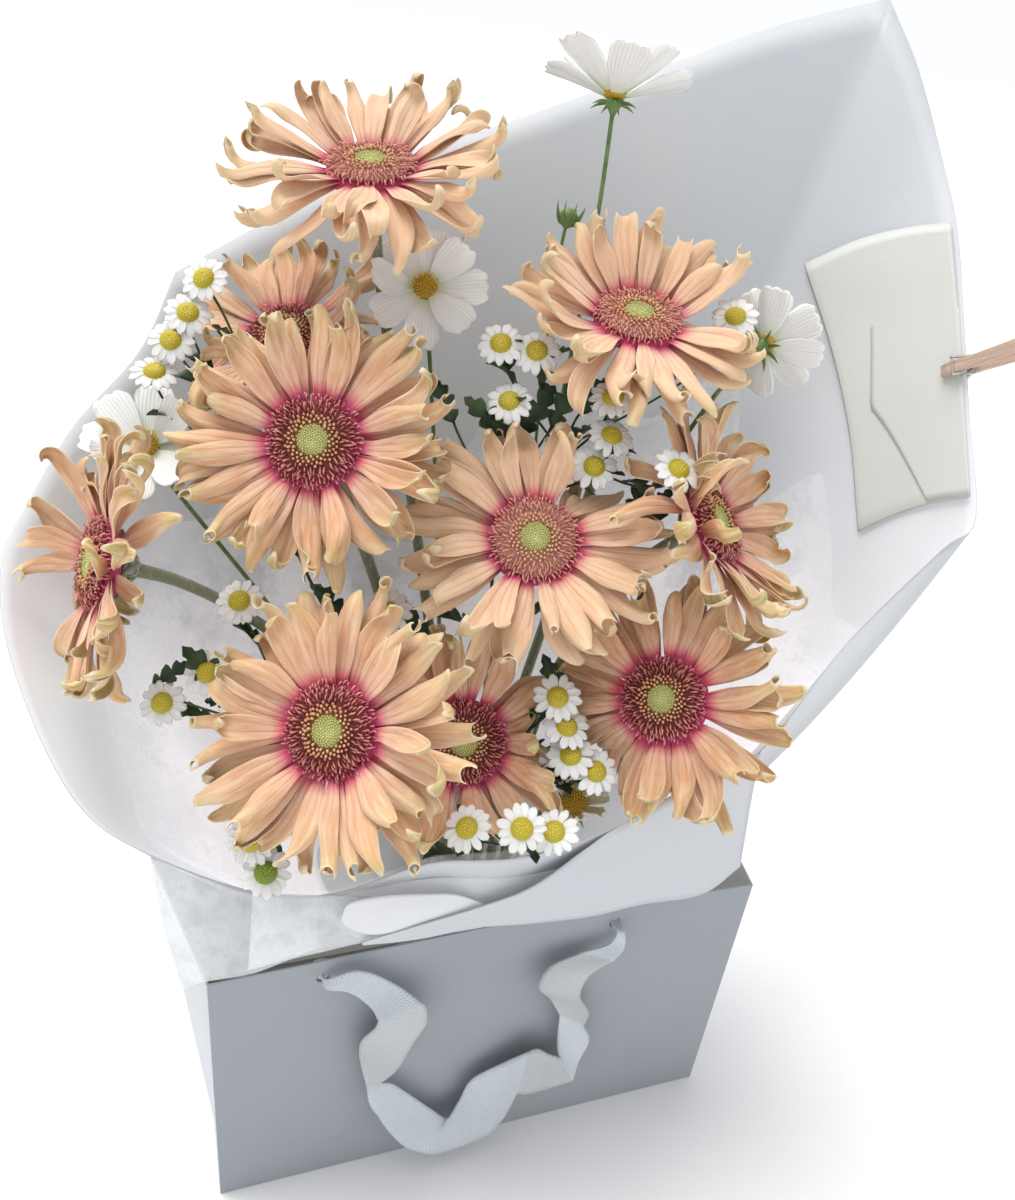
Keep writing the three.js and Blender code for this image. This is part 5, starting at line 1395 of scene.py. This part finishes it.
def leafOn(bm, leaf, scale, draws):
    base, way, side, lift = leaf
    verts, s, t = gridOf(bm, 30, 8)
    middle = leafLine(base, way, lift, s, scale)
    half = feverfewSize["leafWidth"] / 2 * scale * outlineAt(feverfewLook["leafOutline"], s)
    forward = way * (abs(t) * half * .55)[:, None]
    z = .35 * half * t * t + 1.2 * scale * np.sin(9 * s + 3 * t + draws.random() * 6) * abs(t)
    settle(bm, verts, middle + side * (half * t)[:, None] + lift * z[:, None] + forward)


# side shoots with one leaf each, by spray: where the leaf starts, and its tip
shoots = {
    0: (((8, 30, 382), (-7, 30, 397)), ((17, 34, 380), (27, 34, 400)), ((29, 30, 385), (38, 30, 405)),
        ((-17, 30, 389), (-25, 30, 405))),
    1: (((40, 26, 393), (50, 26, 408)), ((82, 20, 333), (91, 20, 352)), ((78, 24, 334), (79, 24, 355))),
    3: (((-118, 10, 268), (-134, 10, 287)), ((-116, 4, 267), (-128, 4, 268)),
        ((-155, 16, 269), (-142, 16, 279)), ((-50, 20, 311), (-38, 20, 299))),
    4: (((-26, 10, 287), (-44, 10, 305)), ((28, -30, 274), (20, -30, 293))),
    5: (((-6, -62, 224), (-22, -62, 239)),),
}


def makeShoot(green, leaves, fork, leaf, draws):
    base, tip = np.array(leaf, float)
    bow = (fork + base) / 2 + feverfewLook["shootBow"]
    tubeOf(green, arcOf(fork, bow, base, 16), feverfewLook["twig"], 7)
    way = unit(tip - base)
    side = unit(np.cross(way, feverfewLook["leafFace"]))
    scale = np.linalg.norm(tip - base) / feverfewSize["leaf"] * feverfewLook["leafScale"]
    leafOn(leaves, (base, way, side, unit(np.cross(side, way))), scale, draws)


def makeSpray(i):
    spray, look = sprays[i], feverfewLook
    draws = random.Random(800 + i)
    line, far = stemLine(*spray["stem"], 60)
    green, leaves, rays = startPiece(), startPiece(), startPiece("along", "across", "tone")
    ripe, unripe = ({"bm": startPiece("lift", "tone"), "shapes": [], "heads": []} for _ in range(2))
    tubeOf(green, line, feverfewSize["stem"] * np.interp(far, (0, far[-1]), (.75, 1.1)), 8)
    for k, head in enumerate(spray["made"]):
        tubeOf(green, head["twig"], look["twig"], 7)
        latheOn(green, head, look["calyx"], 12)
        headDraws = random.Random(head["seed"])
        for j in range(look["ligules"]):
            liguleOn(rays, head, j, headDraws)
        eye = unripe if (i, k) == look["green"] else ripe
        eye["heads"].append(head)
        eye["shapes"] += [domeFloret(head, j, headDraws) for j in range(look["florets"])]
        # small leaves along the twig
        for step, aside, scale in look["twigLeaves"][:2 if i < 2 else 1]:
            way = unit(head["twig"][step - 3] - head["twig"][step + 2]
                       + np.array((aside * (draws.random() + .3), -5 * draws.random(), 3)))
            side = unit(np.cross(way, (0, 0, 1)))
            leafOn(leaves, (head["twig"][step], way, side, unit(np.cross(side, way))), scale, draws)
    for leaf in spray["leaves"]:
        leafOn(leaves, leaf, 1.0, draws)
    for leaf in shoots.get(i, ()):
        makeShoot(green, leaves, spray["fork"], leaf, draws)
    name, slot = f"feverfew_spray_{i + 1}", "feverfew"
    finishPiece(green, f"{name}_twigs", [feverfewGreen], slot, [name])
    finishPiece(rays, f"{name}_ligules", [rayWhite], slot, [name], thick=look["thick"])
    for eye, part, material in ((ripe, "domes", domeYellow), (unripe, "green_dome", domeGreen)):
        addCopies(eye["bm"], budMesh, eye["shapes"], ("lift", "tone"))
        for head in eye["heads"]:
            latheOn(eye["bm"], head, look["dome"], 16, lift=0.1, tone=0.1)
        if eye["heads"]:
            finishPiece(eye["bm"], f"{name}_{part}", [material], slot, [name])
    finishPiece(leaves, f"{name}_leaves", [leafDark], slot, [name], thick=look["leafThick"])


budMesh = threadMesh(5, 2)
for i in range(len(sprays)):
    makeSpray(i)
print("feverfew made")


# the rolled wrapping paper, smooth between its columns, sharp at the sheet's two corners
wrapLook = {"around": 180, "up": 56, "thick": .6, "rippleScale": .035}


def wrapSurface(turn, level, inwards=0.0):
    knots = np.arange(-3, count + 4)
    rows = np.column_stack([rim, spreads, waistTurns])
    wrapped = rows[knots % count].copy()
    wrapped[:, 4] += fullTurn * np.floor(knots / count)
    corners = [c + 3 for c in wrapCorners]
    values = through(knots, wrapped, turn, corners)
    places = wrapPoints(values[:, 3], values[:, 4], values[:, :3], level)
    if np.any(inwards):
        step = .02
        ahead = wrapSurface(turn + step, level)
        higher = wrapSurface(turn, level + np.where(level > .5, -step, step))
        rise = (higher - places) * np.where(level > .5, -1, 1)[:, None]
        gap = np.broadcast_to(inwards, len(places))[:, None]
        places = places - unit(np.cross(ahead - places, rise)) * gap
    return places


# a sheet through columns of points, from its upper edge to its lower one
def sheetOn(bm, columns, alongSteps, acrossSteps, ripple=0.0, seed=1, slot=0, **values):
    verts, s, t = gridOf(bm, alongSteps, acrossSteps)
    places = surfaceThrough(columns, s, (t + 1) / 2)
    for place in places:
        place[1] -= ripple * noise.noise(Vector(place) * wrapLook["rippleScale"] + Vector((seed, 0, 0)))
    settle(bm, verts, places, **values)
    for face in {face for vert in verts for face in vert.link_faces}:
        face.material_index = slot


tongueColumns = (
    ((-84, -69.5, 207), (-84, -73, 203), (-83, -75, 198)),
    ((-76, -70, 213), (-78, -74, 201), (-75, -75.5, 188)),
    ((-60, -70, 213), (-60, -74, 200), (-58, -75.5, 182)),
    ((-35, -71.5, 213), (-35, -74, 198), (-35, -75.5, 180)),
    ((-5, -75.2, 212), (-5, -76.5, 198), (-5, -76, 180)),
    ((24, -76, 211), (24, -76.5, 197), (24, -76, 180)),
)
tongueTip = (
    ((-82.6, -79.3, 207.3), (-82.6, -79.3, 205), (-81.5, -79.3, 202.5)),
    ((-79.1, -79, 214.7), (-77.5, -79.6, 206), (-75.8, -79.3, 196.5)),
    ((-63.8, -78.4, 214.8), (-64, -79.8, 203), (-63.8, -78.6, 191)),
    ((-43.2, -77.8, 210.6), (-43, -79.2, 203), (-42.5, -78.3, 193.5)),
    ((-29.9, -77.8, 206.9), (-29.5, -78.6, 202), (-29, -78.4, 196)),
    ((-17.3, -78.3, 199), (-17.3, -78.4, 198.6), (-17.2, -78.4, 198)),
)
flapColumns = (
    ((-72.7, -78, 187.1), (-72.7, -78, 186.1), (-72.2, -78, 185)),
    ((-49, -79.5, 193), (-48, -79, 188.5), (-47, -78.5, 183)),
    ((-21, -81, 200), (-20, -80, 192), (-19, -78, 183)),
    ((3, -83.5, 210), (6, -81, 195), (8, -78, 179)),
    ((25, -84.6, 229), (33, -84, 205), (41, -78, 176)),
    ((41, -83.6, 240), (54, -84, 208), (67, -78, 178)),
    ((74, -80.6, 255), (89, -81, 215), (103, -77, 176)),
    ((112, -77.4, 268), (118, -75, 230), (124, -74, 188)),
)
tailColumns = (
    ((-161.5, -43.4, 225), (-157.2, -58, 186.5), (-153.4, -62, 157.5)),
    ((-140.6, -50.8, 216.5), (-142, -65.4, 197), (-140, -73.4, 173)),
    ((-119.8, -57.8, 208), (-121, -69.4, 194), (-121, -75.4, 176)),
    ((-103, -64.2, 210), (-103, -71.4, 197), (-104, -75.4, 180)),
    ((-92, -68.6, 211), (-92, -72.9, 199), (-92, -75.4, 185)),
)


# a second fold of the tissue that shows between the wrap and the bag
bandColumns = (
    ((-118.9, -70.5, 221.6), (-120.7, -77, 209.1), (-122.6, -78, 182.3)),
    ((-108.7, -71.5, 218.5), (-108.7, -77.5, 206.6), (-107.2, -78.5, 184.5)),
    ((-96.1, -72, 216.1), (-95, -77, 204.5), (-92.2, -77.5, 184.5)),
    ((-82.2, -72, 212.2), (-79.7, -75, 199.8), (-74.6, -74.5, 182.2)),
    ((-64.2, -72, 207.4), (-61.2, -73, 196.9), (-54.6, -72.4, 180)),
)
# how much painted glow the paper gets at each column of the wrap, standing in for light coming through it
litColumns = (
    (0, 1), (7, 1), (8, .8), (9, .6), (10, .4), (11, .2), (12, 0), (19, 0), (20, .1), (21, .35), (22, .7),
    (23, 1), (30, 1),
)


def makeWrap():
    bm = startPiece("lit")
    verts, s, t = gridOf(bm, wrapLook["around"], wrapLook["up"])
    # painted glow: the lit value of each column, weaker towards the wrap's lower end; the tongue's sheets
    # get fixed lit values
    lit = outlineAt(litColumns, s * count) * np.interp(t, (0, .3), (.4, 1))
    settle(bm, verts, wrapSurface(s * count, t), lit=lit)
    bmesh.ops.remove_doubles(bm, verts=bm.verts, dist=1e-3)
    sheetOn(bm, tongueColumns, 40, 12, slot=1, lit=.25)
    sheetOn(bm, tongueTip, 40, 12, slot=1, lit=.55)
    bmesh.ops.recalc_face_normals(bm, faces=bm.faces)
    slot, thick = "wrap_paper", wrapLook["thick"]
    finishPiece(bm, "wrap_cone", [wrapPaper, paintedGlowWrap], slot, ["wrap_paper"], thick=thick)
    bm = bmesh.new()
    sheetOn(bm, flapColumns, 48, 14)
    finishPiece(bm, "wrap_front_flap", [wrapPaper], slot, ["wrap_flap"], thick=thick)


tissueLook = {
    "around": 200, "up": 30, "thick": .25, "ripple": 2.4, "waves": (5, 2.4), "foot": .12, "gap": (1.2, 3.4),
    "tops": ((4, .9), (12, .62), (19, .55), (26, .74), (30, .9)),
}


def makeTissue():
    bm = startPiece("lit", "edge")
    verts, s, t = gridOf(bm, tissueLook["around"], tissueLook["up"])
    column, high = s * count, (t + 1) / 2
    tops = np.array([
        next(top for last, top in tissueLook["tops"] if k < last)
        + .06 * math.sin(k * 2.1) + .05 * math.sin(k * .9 + 1) for k in range(count)
    ])
    top = np.interp(column, np.arange(count + 1), np.append(tops, tops[0]))
    level = tissueLook["foot"] + (top - tissueLook["foot"]) * high
    wide, tall = tissueLook["waves"]
    ripple = tissueLook["ripple"] * np.array([
        noise.noise(Vector((math.cos(a * fullTurn) * wide, math.sin(a * fullTurn) * wide, b * tall)))
        for a, b in zip(s, high)
    ])
    low, wider = tissueLook["gap"]
    inwards = low + wider * high + np.abs(ripple) * high
    places = wrapSurface(column, level, inwards)
    settle(bm, verts, places, lit=outlineAt(litColumns, column), edge=high)
    bmesh.ops.remove_doubles(bm, verts=bm.verts, dist=1e-3)
    bmesh.ops.recalc_face_normals(bm, faces=bm.faces)
    finishPiece(bm, "tissue_lining", [tissuePaper], "tissue", ["tissue_liner"], thick=tissueLook["thick"])
    bm = bmesh.new()
    sheetOn(bm, tailColumns, 40, 16, ripple=1.8)
    sheetOn(bm, bandColumns, 40, 12, ripple=.72, seed=4)
    finishPiece(bm, "tissue_ends", [thinTissue], "tissue", ["tissue_tails"], thick=tissueLook["thick"])


makeWrap()
makeTissue()
print("wrap and tissue made")


# a solid of the frame keeps its shape and gets a better finish
def repaint(node, material):
    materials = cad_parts[node].data.materials
    materials.clear()
    materials.append(material)


# a copy of a solid, its flat faces merged and its edges eased
def easedCopy(name, limit, width, segments=2, names=(), flat=.3):
    bm = startPiece(*names)
    bm.from_mesh(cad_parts[name].data)
    bmesh.ops.scale(bm, vec=(1 / mm,) * 3, verts=bm.verts)
    bmesh.ops.remove_doubles(bm, verts=bm.verts, dist=1e-3)
    bmesh.ops.dissolve_limit(bm, angle_limit=math.radians(flat), verts=bm.verts, edges=bm.edges)
    sharp = [e for e in bm.edges if len(e.link_faces) == 2 and e.calc_face_angle() > math.radians(limit)]
    bmesh.ops.bevel(bm, geom=sharp, offset=width, segments=segments, profile=.5, affect="EDGES",
                    material=-1, clamp_overlap=True)
    return bm


bagLook = {"ease": .45, "creaseLimit": 8, "inwards": -1, "sideways": .6}


def makeBag():
    bm = easedCopy("carrier_bag", bagLook["creaseLimit"], bagLook["ease"])
    bm.normal_update()
    # painted light: the faces that look into the bag get the bag paper with a painted glow, and its sides
    # get the lighter wrap paper as painted light falling on them
    for face in bm.faces:
        inwards = face.normal.xy.dot(face.calc_center_median().xy) < bagLook["inwards"]
        face.material_index = 1 if inwards else 2 if abs(face.normal.x) > bagLook["sideways"] else 0
    papers = [bagPaper, paintedGlowBag, wrapPaper]
    finishPiece(bm, "bag_paper_body", papers, "bag_paper", ["carrier_bag"], smooth=False)


# both edges of each tape from hole to hole, and the side that it shows; it is folded where that changes, and
# side 0 is painted grey, partly as painted shade
frontTape = (
    ((-88, -60, 153), (-88, -60, 157), 1), ((-88, -69.8, 153), (-88, -69.8, 157), 1),
    ((-87.4, -74.5, 155), (-86, -73, 160), 1), ((-78.6, -78, 155), (-74.4, -75, 164.6), 1),
    ((-67.1, -81, 142.6), (-54.4, -76, 150), 1), ((-64.4, -84.5, 137.2), (-40.4, -81.5, 137.3), 1),
    ((-65, -81.5, 128.5), (-39, -80.5, 123.8), 0), ((-70.7, -78.5, 116.1), (-43.5, -77.5, 106), 0),
    ((-70.5, -78, 100.4), (-50.8, -76, 83.6), 0), ((-66.3, -79, 77), (-59, -76.5, 76.4), 0),
    ((-65.5, -81, 68.8), (-53.4, -76, 73.3), 1), ((-60.8, -82.5, 57.6), (-45.2, -76.5, 63.6), 1),
    ((-53.1, -84, 40.6), (-32.5, -77, 46.6), 1), ((-41.2, -85, 23.4), (-21.9, -79, 35.4), 1),
    ((-29, -84.5, 13.6), (-20.4, -80.5, 37.9), 1), ((-12.1, -84, 13.1), (-14.7, -78, 47.1), 1),
    ((3.9, -83.5, 17.4), (-9.1, -77, 61.2), 1), ((10.5, -83, 28.2), (6, -78, 70.9), 1),
    ((16.6, -82, 48.1), (19.1, -81, 80.8), 1), ((22.2, -79.5, 40.9), (23.2, -81.5, 82.7), 0),
    ((37.5, -78.5, 39.2), (32.3, -80, 73.1), 0), ((51.5, -80, 43.5), (40, -79, 66), 0),
    ((50.4, -82, 62), (38.8, -77.5, 71.1), 1), ((53.9, -82, 81.5), (36.8, -77, 85.9), 1),
    ((49.2, -80.5, 92.6), (35, -78.5, 102.9), 1), ((52.5, -78, 98.5), (27.6, -79.5, 118.3), 0),
    ((44.5, -78, 116.4), (18.8, -80, 132.7), 0), ((47.3, -79, 132.6), (24.4, -77, 142.2), 0),
    ((59.2, -79, 139.7), (41.4, -75.5, 146.2), 0), ((64.8, -77.5, 146.2), (57.5, -75, 148.5), 1),
    ((64.2, -75, 156), (60.4, -74, 156), 1), ((64, -69.8, 155), (60, -69.8, 155), 1),
    ((64, -60, 155), (60, -60, 155), 1),
)
backTape = (
    ((75, 62, 152.5), (75, 62, 157.5), 1), ((75, 73.5, 152.5), (75, 73.5, 157.5), 1),
    ((73.3, 77, 150.1), (74.7, 77, 156.9), 1), ((64.9, 76.7, 145.2), (75.1, 79.3, 152.8), 1),
    ((56.7, 77.1, 129.1), (75.3, 80.9, 130.9), 1), ((52.1, 81, 99), (71.9, 79, 101), 1),
    ((43, 78, 68), (61, 82, 76), 1), ((26, 80, 44), (38, 82, 60), 1), ((0, 81, 34), (0, 83, 54), 1),
    ((-26, 80, 44), (-38, 82, 60), 1), ((-42.9, 81, 68), (-61.1, 79, 76), 1),
    ((-52.1, 79, 99), (-71.9, 81, 101), 1), ((-56.7, 80.9, 129.1), (-75.3, 77.1, 130.9), 1),
    ((-64.9, 76.7, 145.2), (-75.1, 79.3, 152.8), 1), ((-73.3, 77, 150.1), (-74.7, 77, 156.9), 1),
    ((-75, 73.5, 152.5), (-75, 73.5, 157.5), 1), ((-75, 62, 152.5), (-75, 62, 157.5), 1),
)
tapeLook = {
    "thick": .9, "along": 260, "across": 10, "bulge": .035, "bulgeLength": 9,
    "knot": ((1.5, -4.2), (4, -2.4), (5.0, 0), (4, 2.4), (1.5, 4.2)),
}


def makeHandle(name, stations, knots):
    sides = np.array([station[2] for station in stations])
    edges = np.array([(*station[0], *station[1]) for station in stations], float)
    middle = (edges[:, :3] + edges[:, 3:]) / 2
    far = farAlong(middle)
    bm = startPiece("along", "across", "side")
    verts, s, t = gridOf(bm, tapeLook["along"], tapeLook["across"])
    folds = [k for k in range(1, len(sides) - 1) if sides[k] != sides[k + 1]]
    length = s * far[-1]
    rows = through(far, edges, length, folds)
    low, high = rows[:, :3], rows[:, 3:]
    wide = np.linalg.norm(high - low, axis=1)
    places = low + (high - low) * ((t + 1) / 2)[:, None]
    places[:, 1] -= tapeLook["bulge"] * wide * (1 - t * t) * np.sin(length / tapeLook["bulgeLength"])
    shown = sides[np.minimum(np.searchsorted(far, length), len(far) - 1)]
    settle(bm, verts, places, along=length * mm, across=wide / 2 * t * mm, side=shown)
    for at in knots:
        knot = {"centre": np.array(at, float), "axes": axesOf((0, 1, .001))}
        latheOn(bm, knot, tapeLook["knot"], 16, along=0.0, across=0.0)
    finishPiece(bm, f"{name}_tape", [tapeCotton], "handle_tape", [name], thick=tapeLook["thick"])


makeBag()
makeHandle("handle_front", frontTape, ((-88, -62.8, 155), (62, -62.1, 155)))
makeHandle("handle_back", backTape, ((75, 65.4, 155), (-75, 65.4, 155)))
repaint("base_card", greyBoard)
repaint("tie_band", tieCotton)
print("bag and handles made")


# the envelope's corners on the wrap: the column and the level of each
envelopeLook = {
    "topOuter": (10.1, .995), "topInner": (12.5, .74), "lowInner": (8.6, .7), "lowOuter": (7.25, .995),
    "thick": 1.5, "lift": 2.0, "facing": (9.6, .86), "steps": 24,
    "flapTop": .31, "flapEdge": ((.31, .71), (.62, .81), (1, .38)), "flapLift": ((.31, -.2), (.61, .4)),
    "flapThick": .3,
}


def envelopePoint(across, down):
    corners = [envelopeLook[k] for k in ("topOuter", "topInner", "lowOuter", "lowInner")]
    i, level = [
        (a * (1 - across) + b * across) * (1 - down) + (c * (1 - across) + d * across) * down
        for a, b, c, d in zip(*corners)
    ]
    return onWrap(i, level) + insideOf(i, level) * envelopeLook["lift"]


def makeEnvelope():
    look, material, slot = envelopeLook, [envelopePaper], "envelope_paper"
    knots = np.linspace(0, 1, 4)
    grid = [[envelopePoint(a, d) for d in knots] for a in knots]
    body = bmesh.new()
    verts, s, t = gridOf(body, look["steps"], look["steps"])
    settle(body, verts, surfaceThrough(grid, s, (t + 1) / 2))
    bmesh.ops.solidify(body, geom=body.faces[:], thickness=look["thick"])
    bmesh.ops.recalc_face_normals(body, faces=body.faces)
    # the flap, tucked into a slit, lies a little proud of the body
    flap = bmesh.new()
    verts, s, t = gridOf(flap, 20, 26)
    down = look["flapTop"] + (1 - look["flapTop"]) * (t + 1) / 2
    places = surfaceThrough(grid, s * outlineAt(look["flapEdge"], down), down)
    settle(flap, verts, places + insideOf(*look["facing"]) * outlineAt(look["flapLift"], down)[:, None])
    finishPiece(flap, "envelope_flap", material, slot, ["envelope"], thick=look["flapThick"])
    finishPiece(body, "envelope_body", material, slot, ["envelope"])


# the ways that the legs' grain runs and crosses
pinLook = {
    "creaseLimit": 30, "ease": .35, "steps": 3,
    "grain": {"along": (.31487, -.75333, .57736), "across": (-.15168, -.64042, -.7529)},
}


def makePin():
    for node, body in (("pin_leg_back", "root"), ("pin_leg_front", "pin_jaw")):
        bm = easedCopy(node, pinLook["creaseLimit"], pinLook["ease"], pinLook["steps"], pinLook["grain"])
        for name, way in pinLook["grain"].items():
            layer = bm.verts.layers.float[name]
            for vert in bm.verts:
                vert[layer] = vert.co.dot(Vector(way)) * mm
        finishPiece(bm, f"{node}_wood", [birch], "pin_wood", [node], body=body, smooth=False)
    for node in ("pin_spring", "pin_spring_arm"):
        repaint(node, springWire)


makeEnvelope()
makePin()
print("envelope and clothespin made")


def makeStage():
    bm = bmesh.new()
    bmesh.ops.create_grid(bm, x_segments=1, y_segments=1, size=studio["floorSize"] / 2)
    mesh = bpy.data.meshes.new("floor")
    bm.to_mesh(mesh)
    bm.free()
    paint = Paint("floor", Base_Color=studio["floorColour"], Roughness=0.9, Specular_IOR_Level=0.1)
    mesh.materials.append(paint.material)
    floor = bpy.data.objects.new("floor", mesh)
    bpy.context.scene.collection.objects.link(floor)
    world = bpy.data.worlds.new("studio")
    world.use_nodes = True
    tree = world.node_tree
    height = tree.nodes.new("ShaderNodeSeparateXYZ")
    plug(tree, height.inputs[0], Wire(tree, tree.nodes.new("ShaderNodeTexCoord").outputs["Generated"]))
    blend = tree.nodes.new("ShaderNodeMapRange")
    plug(tree, blend.inputs[0], Wire(tree, height.outputs["Z"]))
    for socket, value in zip((1, 2), studio["wallTop"]):
        plug(tree, blend.inputs[socket], value)
    shade = tree.nodes.new("ShaderNodeMix")
    shade.data_type = "RGBA"
    plug(tree, shade.inputs[0], Wire(tree, blend.outputs[0]))
    plug(tree, shade.inputs[6], studio["walls"])
    plug(tree, shade.inputs[7], studio["ceiling"])
    plug(tree, tree.nodes["Background"].inputs["Color"], Wire(tree, shade.outputs[2]))
    bpy.context.scene.world = world
    makeLight("window", studio["window"])
    bpy.context.scene.view_settings.view_transform = "Standard"


makeStage()
makeCamera()
print("scene ready")
